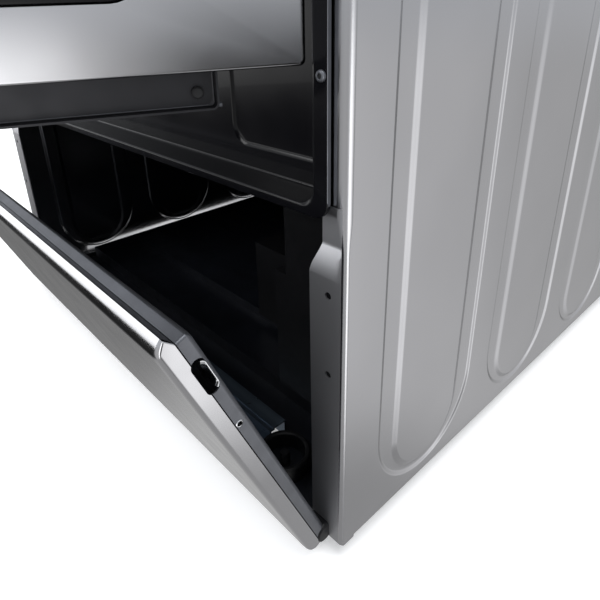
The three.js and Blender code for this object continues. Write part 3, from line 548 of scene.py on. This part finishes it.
def flange_set_back(x, z):
    """How far the flange is pressed back: a roll below, a flat pocket and a short fillet above."""
    turn = min(1.0, max(0.0, (z - ROLL_LOW) / (ROLL_HIGH - ROLL_LOW)))
    roll = 0.35 * turn + 0.65 * turn * turn
    fall = 1 - smooth((z - FILLET_LOW) / (FILLET_HIGH - FILLET_LOW))
    side = smooth((HALF - 5 - x) / 3.5)
    above = smooth((z - FILLET_LOW) / (FILLET_HIGH - FILLET_LOW))
    lean = UPPER_LEAN * max(0.0, HALF - CORNER_HIGH - x) * above
    return ROLL_DEPTH * roll * fall * side + lean


def flange_rows():
    """Heights of the front edge's rows, close together round its step."""
    coarse_low = [BOTTOM, BOTTOM + BOTTOM_RADIUS, 32, 60, 100, 140, 180, 215, 236, 246]
    fine = [250 + 1.0 * i for i in range(23)] + [273.01] + [273 + 1.5 * i for i in range(1, 24)]
    coarse_high = [320, 380, 450, 530, 610, 700, 800, 900, TOP]
    return coarse_low + fine + coarse_high


def corner_points(radius, steps=20):
    """A corner that turns slowly from the flange and meets the side at a crease."""
    headings = [math.radians(CREASE_TURN) * (i + 0.5) / steps for i in range(steps)]
    step = radius / sum(math.cos(a) for a in headings)
    x, y = HALF - radius, 0.0
    points = [(x, y)]
    for heading in headings:
        x += step * math.cos(heading)
        y += step * math.sin(heading)
        points.append((x, y))
    return points


def front_edge_row(z):
    """One row of points from the flange's free edge, round the corner, onto the side."""
    radius = corner_radius(z)
    edge = flange_edge(z)
    tangent = HALF - radius
    flat = [edge + (tangent - edge) * i / 10 for i in range(10)]
    row = [(x, flange_set_back(x, z), z) for x in flat]
    row += [(x, y, z) for x, y in corner_points(radius)]
    row.append((HALF, CORNER_END_Y, z))
    return row


def side_sheet(name, embosses):
    bm = bmesh.new()
    heights = flange_rows()
    rows = [front_edge_row(z) for z in heights]
    loft(bm, rows, closed=False)
    rear_start = DEPTH - REAR_RADIUS
    low = BOTTOM + BOTTOM_RADIUS
    left = [(HALF, CORNER_END_Y, z) for z in heights if z >= low]
    right = [(HALF, rear_start, TOP), (HALF, rear_start, low)]
    contours = [emboss(bm, y, embosses["outer"], embosses["inner"]) for y in embosses["centres"]]
    fill(bm, left + right, *contours)
    rear = [(x, y) for x, y in arc(HALF - REAR_RADIUS, rear_start, REAR_RADIUS, 0, 90, 5)]
    rear.append((HALF - RETURN_WIDTH, DEPTH))
    loft(bm, [[(x, y, z) for x, y in rear] for z in (low, TOP)], closed=False)
    hem = arc(HALF - BOTTOM_RADIUS, low, BOTTOM_RADIUS, 0, -90, 5) + [(HALF - RETURN_WIDTH, BOTTOM)]
    loft(bm, [[(x, y, z) for x, z in hem] for y in (CORNER_END_Y, rear_start)], closed=False)
    piece = finish_mesh(bm, name, outward=(1, -0.3, 0))
    thicken(piece, inside_slot=1)
    bake_modifiers(piece)
    hole_x = HALF - 16
    pegs = [peg("y", circle(hole_x, z, HOLE_RADIUS, 24), -5, 5) for z in HOLE_HEIGHTS]
    carve(piece, *pegs)
    return piece


def satin_flange(piece):
    """The narrow flange beside the access opening has a duller finish than the side."""
    for face in piece.data.polygons:
        centre = face.center - Vector((MIDDLE_X, FRONT_Y, 0))
        low_enough = centre.z < FILLET_HIGH * MM
        on_flange = abs(centre.x) < (HALF - CORNER_LOW) * MM and centre.y < CORNER_END_Y * MM
        if face.material_index == 0 and low_enough and on_flange:
            face.material_index = 2


def side_panels():
    right = side_sheet("side_panel_right_sheet", RIGHT_EMBOSSES)
    # Slot 1, the inner faces of the sheets, takes the painted shade of the cabinet's inside.
    finishes = (MATERIALS["side_paint"], INSIDE_PAINTED_SHADE, SATIN_PAINT)
    settle(right, "cabinet", "side_paint", ["side_panel_right"], *finishes)
    satin_flange(right)
    left = side_sheet("side_panel_left_sheet", RIGHT_EMBOSSES)
    to_left = Matrix.Translation(Vector((2 * MIDDLE_X, 0, 0))) @ Matrix.Scale(-1, 4, Vector((1, 0, 0)))
    left.data.transform(to_left)
    left.data.flip_normals()
    settle(left, "cabinet", "side_paint", ["side_panel_left"], *finishes)
    satin_flange(left)


# ---- front panel ----
RIM_SIDE, RIM_END = 13.5, 7
POCKET = {"u0": 202.5, "u1": 306, "v0": 317.5, "v1": 425, "radius": 16}
RECESS_Y = 24
OPENING_RADIUS = 230
DRUM_Z = 618


def rim_outline(share, radius):
    low, high = box_mm("front_panel")
    return rounded_rectangle(
        low.x + RIM_SIDE * share,
        high.x - RIM_SIDE * share,
        low.z + RIM_END * share,
        high.z - RIM_END * share,
        radius,
        8,
    )


def pocket_outline(inset, drop):
    """The shallow pocket beside the opening, cut by the opening's own edge."""
    u0, u1, v0, v1, radius = POCKET.values()
    outline = rounded_rectangle(u0 + inset, u1 - inset, v0 + inset, v1 - inset, radius - inset, 6)
    return across_y(outline, RECESS_Y + drop)


def front_panel():
    bm = bmesh.new()
    face_y = -3.4
    levels = [(0, -0.4, 12), (0, -2.8, 12), (0.02, -3.2, 12), (0.05, face_y, 12), (0.74, face_y, 12)]
    levels += [(0.86, face_y + 0.3, 12), (0.95, face_y + 1, 12), (1, -1.6, 12)]
    rows = [across_y(rim_outline(share, radius), y) for share, y, radius in levels]
    wall = [(0, 17), (0, 22.6), (0.3, 23.3), (0.9, 23.8), (2, RECESS_Y)]
    low, high = box_mm("front_panel")
    for inset, y in wall:
        outline = rounded_rectangle(
            low.x + RIM_SIDE + inset,
            high.x - RIM_SIDE - inset,
            low.z + RIM_END + inset,
            high.z - RIM_END - inset,
            max(12 - inset, 6),
            8,
        )
        rows.append(across_y(outline, y))
    loft(bm, rows)
    collar = [(236, RECESS_Y), (233, 24.8), (231, 27), (OPENING_RADIUS, 31), (OPENING_RADIUS, 60)]
    turned(bm, collar, 0, DRUM_Z, 96)
    pocket_rows = [pocket_outline(inset, drop) for inset, drop in [(0, 0), (0.5, 0.6), (1.8, 1.6), (3.4, 2)]]
    loft(bm, pocket_rows)
    fill(bm, pocket_rows[-1])
    slot = across_y([(-275, 600), (-255, 600), (-255, 636), (-275, 636)], RECESS_Y)
    fill(bm, rows[-1], across_y(circle(0, DRUM_Z, 236, 96), RECESS_Y), pocket_rows[0], slot)
    piece = finish_mesh(bm, "front_panel_pressing", outward=(0, -1, 0))
    thicken(piece, 1.0)
    bake_modifiers(piece)
    settle(piece, "cabinet", "gloss_front", ["front_panel"], MATERIALS["gloss_front"], FRAME_STEEL)
    low, high = low * MM, high * MM
    for face in piece.data.polygons:
        centre = face.center - Vector((MIDDLE_X, FRONT_Y, 0))
        outside = max(abs(centre.x) - high.x, low.z - centre.z, centre.z - high.z)
        if outside > -0.2 * MM and centre.y < 0:
            face.material_index = 1


def screw_head():
    low, high = box_mm("front_panel_screw")
    x, z = (low.x + high.x) / 2, (low.z + high.z) / 2
    radius = (high.x - low.x) / 2
    base, rise = high.y, high.y - low.y
    bm = bmesh.new()
    angles = [math.radians(a) for a in range(0, 80, 10)]
    dome = [(radius * (0.5 + 0.5 * math.cos(a)), base - rise * (0.35 + 0.6 * math.sin(a))) for a in angles]
    top = dome[-1][1]
    socket = [(radius * 0.5, top), (radius * 0.46, top + 0.1), (radius * 0.44, base - 0.5)]
    turned(bm, [(radius, base)] + dome + socket, x, z, 40)
    fill(bm, across_y(circle(x, z, socket[-1][0], 40), socket[-1][1]))
    fill(bm, across_y(circle(x, z, radius, 40), base))
    piece = finish_mesh(bm, "front_panel_screw_head")
    settle(piece, "cabinet", "bright_steel", ["front_panel_screw"], FRAME_STEEL)
    # A near-black star sunk in the socket, in the rubber finish: painted shade for the depth of the screw's drive
    # recess.
    bm = bmesh.new()
    star = [(socket[-1][0] * (0.98 if i % 2 else 0.72), math.radians(i * 30)) for i in range(12)]
    outline = [(x + r * math.cos(a), z + r * math.sin(a)) for r, a in star]
    rows = [across_y(outline, y) for y in (base - 0.45, base - 1.1)]
    loft(bm, rows)
    for row in rows:
        fill(bm, row)
    socket_shade = finish_mesh(bm, "front_panel_screw_socket_shade")
    settle(socket_shade, "cabinet", "black_plastic", [], MATERIALS["rubber"])


# ---- door ----
DOOR_HOLE = (235.4, 370.7)


def inset_outline(low, high, inset, radius, steps=8):
    return rounded_rectangle(low.x + inset, high.x - inset, low.z + inset, high.z - inset, radius, steps)


def door_skin():
    low, high = shut_box("door_skin", DOOR_OPEN)
    trim_low, trim_high = shut_box("window_trim", DOOR_OPEN)
    face = low.y
    bm = bmesh.new()
    levels = [(0, high.y), (0, face + 1.8), (0.3, face + 0.8), (0.9, face + 0.25), (1.9, face)]
    rows = [across_y(inset_outline(low, high, inset, 3.2 - inset * 0.6), y) for inset, y in levels]
    loft(bm, rows)
    turned_in = [(-0.8, face), (-0.3, face + 0.3), (0, face + 1.2), (0, face + 4)]
    window = [across_y(inset_outline(trim_low, trim_high, inset - 0.4, 20.5), y) for inset, y in turned_in]
    loft(bm, window)
    fill(bm, rows[-1], window[0])
    piece = finish_mesh(bm, "door_outer_skin", outward=(0, -1, 0))
    thicken(piece, 0.9)
    bake_modifiers(piece)
    settle(piece, "door", "silver_skin", ["door_skin"], MATERIALS["silver_skin"], at=DOOR_OPEN)


def window_trim():
    low, high = shut_box("window_trim", DOOR_OPEN)
    front, back = low.y, high.y
    bm = bmesh.new()
    levels = [(0, back, 20), (0, front + 1.4, 20), (0.4, front + 0.5, 19.6), (1.5, front, 19), (9, front, 17)]
    levels += [(20, front + 0.9, 15), (23, front + 1.3, 14.4), (24, front + 2, 14), (24, back, 14)]
    rows = [across_y(inset_outline(low, high, inset, radius), y) for inset, y, radius in levels]
    loft(bm, rows + rows[:1])
    piece = finish_mesh(bm, "window_trim_ring")
    settle(piece, "door", "gloss_front", ["window_trim"], MATERIALS["gloss_front"], at=DOOR_OPEN)


def door_inner():
    low, high = shut_box("door_inner", DOOR_OPEN)
    back = 15.5
    bm = bmesh.new()
    levels = [(0, low.y), (0, 13.4), (0.4, 14.6), (1.1, 15.2), (2.2, back)]
    rows = [across_y(inset_outline(low, high, inset, 4), y) for inset, y in levels]
    loft(bm, rows)
    bowl = [(204, back), (201, 17), (199.5, 20), (190, 37), (186, 41.5), (180, 44.5), (150, 48), (60, 49.6)]
    turned(bm, bowl, 0, DRUM_Z, 96)
    fill(bm, rows[-1], across_y(circle(0, DRUM_Z, bowl[0][0], 96), back))
    fill(bm, across_y(circle(0, DRUM_Z, bowl[-1][0], 96), bowl[-1][1]))
    piece = finish_mesh(bm, "door_inner_pressing", outward=(0, 1, 0))
    thicken(piece, 1.2)
    bake_modifiers(piece)
    carve(piece, peg("y", circle(*DOOR_HOLE, 2.7, 24), 5, 20))
    settle(piece, "door", "dark_steel", ["door_inner"], DOOR_STEEL, at=DOOR_OPEN)


def door_hole_plug():
    """A blind rubber plug behind the hole in the inner door's lower edge."""
    x, z = DOOR_HOLE
    bm = bmesh.new()
    turned(bm, [(3.6, 14), (3.6, 11.4), (2.6, 10.6)], x, z, 24)
    fill(bm, across_y(circle(x, z, 3.6, 24), 14))
    fill(bm, across_y(circle(x, z, 2.6, 24), 10.6))
    piece = finish_mesh(bm, "door_hole_plug")
    settle(piece, "door", "rubber", [], MATERIALS["rubber"], at=DOOR_OPEN)


def door_hem():
    """The rolled lower hem of the inner door, a bright thin edge."""
    low, high = shut_box("door_inner", DOOR_OPEN)
    radius = 1.5
    bm = bmesh.new()
    ends = (low.x + 3, high.x + 3)
    rows = [[(x, y, z) for y, z in circle(high.y - 34.4, low.z + radius, radius, 16)] for x in ends]
    loft(bm, rows)
    for row in rows:
        fill(bm, row)
    piece = finish_mesh(bm, "door_inner_hem")
    settle(piece, "door", "silver_skin", [], FRAME_STEEL, at=DOOR_OPEN)


# ---- lower access panel ----
TOE_BEVEL_START = -15.2
TOE_BACK_SLOPE = [(-11.4, 6.5), (-14.4, 1.2), (-14.9, 0.4)]
TOE_BEVEL_DROP = 7.2
TOE_LEDGE_TOP = 282
SLOT_LOW, SLOT_HIGH, SLOT_RADIUS, SLOT_Y = 240, 260, 4.8, -8
SMALL_HOLE = (-8, 200)
SMALL_HOLE_RADIUS = 2.7


def slot_outline(grow=0.0):
    radius = SLOT_RADIUS + grow
    return arc(SLOT_Y, SLOT_LOW, radius, 180, 360, 12) + arc(SLOT_Y, SLOT_HIGH, radius, 0, 180, 12)


def toe_cutters(x0, x1):
    return [
        peg("x", slot_outline(), x0, x1),
        peg("x", circle(*SMALL_HOLE, SMALL_HOLE_RADIUS, 20), x0, x1),
    ]


def toe_skin():
    """The outer skin: flat narrow top, broad bevel, rounded ends and a rolled foot."""
    low, high = shut_box("toe_panel_skin", TOE_OPEN)
    face = low.y
    deep = TOE_BEVEL_START - face
    bm = bmesh.new()
    rows = [
        across_y(rounded_rectangle(low.x, high.x, low.z, high.z - drop, 2.4, 6), y)
        for y, drop in TOE_BACK_SLOPE
    ]
    for i in range(17):
        t = i / 16
        y = TOE_BEVEL_START - deep * t
        side = 3.2 * (1 - math.sqrt(max(0.0, 1 - max(0.0, (t - 0.6) / 0.4) ** 2)))
        bevel = TOE_BEVEL_DROP * (0.75 * t + 0.25 * t ** 3)
        foot = 12 * (1 - math.sqrt(max(0.0, 1 - t * t)))
        outline = rounded_rectangle(
            low.x + side, high.x - side, low.z + foot, high.z - bevel - side * 0.4, 2.4 + 2.2 * t, 6,
        )
        rows.append(across_y(outline, y))
    loft(bm, rows)
    fill(bm, rows[-1])
    piece = finish_mesh(bm, "toe_panel_outer_skin", outward=(0, -1, 0))
    thicken(piece, 1.0)
    bake_modifiers(piece)
    carve(piece, *toe_cutters(high.x - 5, high.x + 5))
    settle(piece, "toe_panel", "silver_skin", ["toe_panel_skin"], MATERIALS["silver_skin"], at=TOE_OPEN)


def toe_inner():
    """The inner frame: a deep rim whose top is the ledge, with the panel's window behind."""
    high = shut_box("toe_panel_skin", TOE_OPEN)[1]
    edge = high.x - 0.3
    bottom, back = 19, -1.2
    bm = bmesh.new()
    levels = [(0, -10.6, 0), (0, -4.4, 0), (0.4, -3.4, 0.4), (1.2, -2.2, 1.6), (2.4, back, 3.4)]
    rows = []
    for inset, y, drop in levels:
        outline = rounded_rectangle(
            -edge + inset, edge - inset, bottom + inset, TOE_LEDGE_TOP + 0.5 - drop, 1.6 + inset * 0.6, 5,
        )
        rows.append(across_y(outline, y))
    loft(bm, rows)
    window = [(0, back), (0.4, back - 0.5), (0.6, back - 2), (0.6, back - 6)]
    opening = [
        across_y(rounded_rectangle(-290 + inset, 290 - inset, 60 + inset, 246 - inset, 12, 5), y)
        for inset, y in window
    ]
    loft(bm, opening)
    fill(bm, rows[-1], opening[0])
    piece = finish_mesh(bm, "toe_panel_inner_frame", outward=(0, 1, 0))
    thicken(piece, 0.9)
    bake_modifiers(piece)
    carve(piece, *toe_cutters(edge - 5, edge + 5))
    settle(piece, "toe_panel", "dark_steel", ["toe_panel_inner"], FRAME_STEEL, at=TOE_OPEN)


def toe_clip():
    """A bright spring leaf bowed along the back of the slot."""
    low, high = shut_box("toe_panel_clip", TOE_OPEN)
    inner = arc(SLOT_Y - 1.0, SLOT_LOW + 4, SLOT_RADIUS - 0.2, -60, 0, 8)
    inner += arc(SLOT_Y - 1.0, SLOT_HIGH - 4, SLOT_RADIUS - 0.2, 0, 60, 8)
    outer = arc(SLOT_Y, SLOT_LOW + 1.6, SLOT_RADIUS - 0.3, -60, 0, 8)
    outer += arc(SLOT_Y, SLOT_HIGH - 1.6, SLOT_RADIUS - 0.3, 0, 60, 8)
    bm = bmesh.new()
    stations = [(low.x, 0.0), (high.x - 1, 0.0), (high.x - 0.4, 0.12), (high.x, 0.5)]
    rows = []
    for x, blend in stations:
        near = [
            ((1 - blend) * u + blend * a, (1 - blend) * v + blend * b)
            for (u, v), (a, b) in zip(inner, outer)
        ]
        loop = near + outer[::-1]
        rows.append([(x, u, v) for u, v in loop])
    loft(bm, rows)
    fill(bm, rows[0])
    fill(bm, rows[-1])
    piece = finish_mesh(bm, "toe_panel_clip_leaf")
    settle(piece, "toe_panel", "bright_steel", ["toe_panel_clip"], MATERIALS["bright_steel"], at=TOE_OPEN)


def toe_hole_rim():
    """The bright turned edge round the small hole beside the slot."""
    high = shut_box("toe_panel_skin", TOE_OPEN)[1]
    u, v = SMALL_HOLE
    bm = bmesh.new()
    section = [(SMALL_HOLE_RADIUS - 0.9, high.x - 2), (SMALL_HOLE_RADIUS - 0.9, high.x - 0.1)]
    section += [(SMALL_HOLE_RADIUS - 0.5, high.x), (SMALL_HOLE_RADIUS - 0.1, high.x - 0.3)]
    section += [(SMALL_HOLE_RADIUS - 0.1, high.x - 2)]
    rows = [[(x, a, b) for a, b in circle(u, v, radius, 28)] for radius, x in section]
    loft(bm, rows + rows[:1])
    piece = finish_mesh(bm, "toe_panel_hole_rim")
    settle(piece, "toe_panel", "bright_steel", [], MATERIALS["bright_steel"], at=TOE_OPEN)


# ---- base ----
def foot_sockets():
    """The round cups in the front corners of the base that hold the levelling feet."""
    for place in ("right", "left"):
        low, high = box_mm("foot_socket_" + place)
        x, y = (low.x + high.x) / 2, (low.y + high.y) / 2
        outer = (high.x - low.x) / 2
        inner = outer - 6
        floor_z, rim = low.z, high.z
        bm = bmesh.new()
        profile = [(inner, floor_z), (outer, floor_z), (outer, rim - 4), (outer - 0.4, rim - 1.6)]
        profile += [(outer - 1.6, rim - 0.3), (outer - 3, rim), (inner + 1.4, rim - 0.4)]
        profile += [(inner + 0.3, rim - 1.6), (inner, rim - 4)]
        turned_upright(bm, profile + profile[:1], x, y, 72)
        piece = finish_mesh(bm, "foot_socket_cup_" + place)
        settle(piece, "cabinet", "black_plastic", ["foot_socket_" + place], MATERIALS["black_plastic"])


def levelling_feet():
    for place in ("front_right", "front_left", "rear_right", "rear_left"):
        low, high = box_mm("foot_" + place)
        x, y = (low.x + high.x) / 2, (low.y + high.y) / 2
        pad = (high.x - low.x) / 2
        bm = bmesh.new()
        profile = [(pad - 1, 0), (pad, 1), (pad, 4.4), (pad - 0.8, 5.4), (pad - 4, 8)]
        profile += [(7, 8.4), (7, 11), (5, 11.4)]
        turns = int((high.z - 13) / 2.4)
        for i in range(turns):
            base = 12 + 2.4 * i
            profile += [(4.2, base), (5, base + 0.8), (5, base + 1.2)]
        profile += [(4.2, high.z - 0.6), (3.6, high.z)]
        turned_upright(bm, profile, x, y, 48)
        for radius, z in (profile[0], profile[-1]):
            fill(bm, [(a, b, z) for a, b in circle(x, y, radius, 48)])
        piece = finish_mesh(bm, "levelling_foot_" + place)
        settle(piece, "cabinet", "black_plastic", ["foot_" + place], MATERIALS["black_plastic"])


# ---- stage ----
AZIMUTH_GLOW = [
    (-180, 0.2), (-165, 0.05), (-150, 0.02), (-138, 0.03), (-128, 0.06), (-114, 0.65), (-84, 0.75),
    (-62, 0.7), (-54, 1.1), (-46, 4.0), (-39, 2.6), (-31, 1.8), (-24, 0.6), (-15, 0.1),
    (-6, 0.0), (9, 0.03), (19, 0.9), (27, 1.9), (39, 1.15), (56, 0.9), (72, 0.64),
    (94, 0.06), (140, 0.4), (180, 0.2),
]
GLOW_PEAK = 4.0


def world_light():
    """A studio round the cabinet: soft white above, and strips and dark gaps near the floor."""
    world = bpy.data.worlds.new("studio")
    bpy.context.scene.world = world
    world.use_nodes = True
    tree = world.node_tree
    direction = tree.nodes.new("ShaderNodeTexCoord").outputs["Generated"]
    turn = tree.nodes.new("ShaderNodeTexGradient")
    turn.gradient_type = "RADIAL"
    tree.links.new(direction, turn.inputs["Vector"])
    ramp = tree.nodes.new("ShaderNodeValToRGB")
    ramp.color_ramp.interpolation = "EASE"
    stops = ramp.color_ramp.elements
    for angle, glow in AZIMUTH_GLOW[1:-1]:
        stops.new((angle + 180) / 360)
    for stop, (angle, glow) in zip(stops, AZIMUTH_GLOW):
        stop.position = (angle + 180) / 360
        stop.color = (*[glow / GLOW_PEAK] * 3, 1)
    tree.links.new(turn.outputs["Fac"], ramp.inputs["Fac"])
    strips = tree.nodes.new("ShaderNodeBackground")
    tree.links.new(ramp.outputs["Color"], strips.inputs["Color"])
    strips.inputs["Strength"].default_value = GLOW_PEAK
    pale = tree.nodes.new("ShaderNodeBackground")
    pale.inputs["Color"].default_value = (1, 1, 1, 1)
    pale.inputs["Strength"].default_value = 0.5
    sky = tree.nodes.new("ShaderNodeBackground")
    sky.inputs["Color"].default_value = (0.93, 0.96, 1.0, 1)
    sky.inputs["Strength"].default_value = 0.85
    split = tree.nodes.new("ShaderNodeSeparateXYZ")
    tree.links.new(direction, split.inputs["Vector"])
    steep = tree.nodes.new("ShaderNodeMapRange")
    steep.inputs["From Min"].default_value = -0.64
    steep.inputs["From Max"].default_value = -0.74
    tree.links.new(split.outputs["Z"], steep.inputs["Value"])
    below = tree.nodes.new("ShaderNodeMixShader")
    tree.links.new(steep.outputs["Result"], below.inputs[0])
    tree.links.new(strips.outputs["Background"], below.inputs[1])
    tree.links.new(pale.outputs["Background"], below.inputs[2])
    rise = tree.nodes.new("ShaderNodeMapRange")
    rise.inputs["From Min"].default_value = -0.1
    rise.inputs["From Max"].default_value = 0.06
    tree.links.new(split.outputs["Z"], rise.inputs["Value"])
    blend = tree.nodes.new("ShaderNodeMixShader")
    tree.links.new(rise.outputs["Result"], blend.inputs[0])
    tree.links.new(below.outputs["Shader"], blend.inputs[1])
    tree.links.new(sky.outputs["Background"], blend.inputs[2])
    tree.links.new(blend.outputs["Shader"], tree.nodes["World Output"].inputs["Surface"])


def soft_light(name, place, target, size, power, colour=(1, 1, 1)):
    data = bpy.data.lights.new(name, "AREA")
    data.shape = "RECTANGLE"
    data.size, data.size_y = size
    data.energy = power
    data.color = colour
    lamp = bpy.data.objects.new(name, data)
    lamp.location = place
    lamp.rotation_euler = (Vector(target) - Vector(place)).to_track_quat("-Z", "Y").to_euler()
    lamp.visible_camera = False
    bpy.context.scene.collection.objects.link(lamp)


def floor():
    bm = bmesh.new()
    bmesh.ops.create_grid(bm, x_segments=1, y_segments=1, size=12)
    mesh = bpy.data.meshes.new("floor")
    bm.to_mesh(mesh)
    bm.free()
    plane = bpy.data.objects.new("floor", mesh)
    bpy.context.scene.collection.objects.link(plane)
    pale = Shader("pale_floor", (0.9, 0.9, 0.9), 0.8, Emission_Strength=0.32, Emission_Color=(1, 1, 1, 1))
    pale.vary_colour(pale.noise(3), 0.01)
    mesh.materials.append(pale.material)
    plane.visible_glossy = False


def camera():
    """Stands low in front of the right corner, turned towards the open base."""
    yaw, pitch, roll = (math.radians(a) for a in (49.286, 23.014, 2.184))
    forward = Vector((-math.sin(yaw) * math.cos(pitch), math.cos(yaw) * math.cos(pitch), -math.sin(pitch)))
    level = Vector((math.cos(yaw), math.sin(yaw), 0))
    down = forward.cross(level)
    right = level * math.cos(roll) + down * math.sin(roll)
    down = down * math.cos(roll) - level * math.sin(roll)
    data = bpy.data.cameras.new("camera")
    data.sensor_width = 36
    data.lens = 31.06
    data.shift_x = 0.0345
    data.shift_y = -0.1201
    data.clip_start = 0.02
    seen_from = bpy.data.objects.new("camera", data)
    turn = Matrix((right, -down, -forward)).transposed().to_4x4()
    seen_from.matrix_world = Matrix.Translation((0.27844, -0.23577, 0.41406)) @ turn
    bpy.context.scene.collection.objects.link(seen_from)
    bpy.context.scene.camera = seen_from


dress_cad_nodes()
side_panels()
front_panel()
screw_head()
door_skin()
window_trim()
door_inner()
door_hole_plug()
door_hem()
toe_skin()
toe_inner()
toe_clip()
toe_hole_rim()
foot_sockets()
levelling_feet()
world_light()
floor()
soft_light("key", (-1.6, -2.4, 2.2), (0, 0, 0.4), (2.2, 1.6), 60)
soft_light("low_left", (-2.0, -1.3, 0.3), (0, 0, 0.24), (2.2, 0.5), 6)
soft_light("top", (0.6, 0.2, 2.6), (0, 0.2, 0.5), (1.6, 1.6), 30)
camera()
bpy.context.scene.view_settings.view_transform = "Standard"
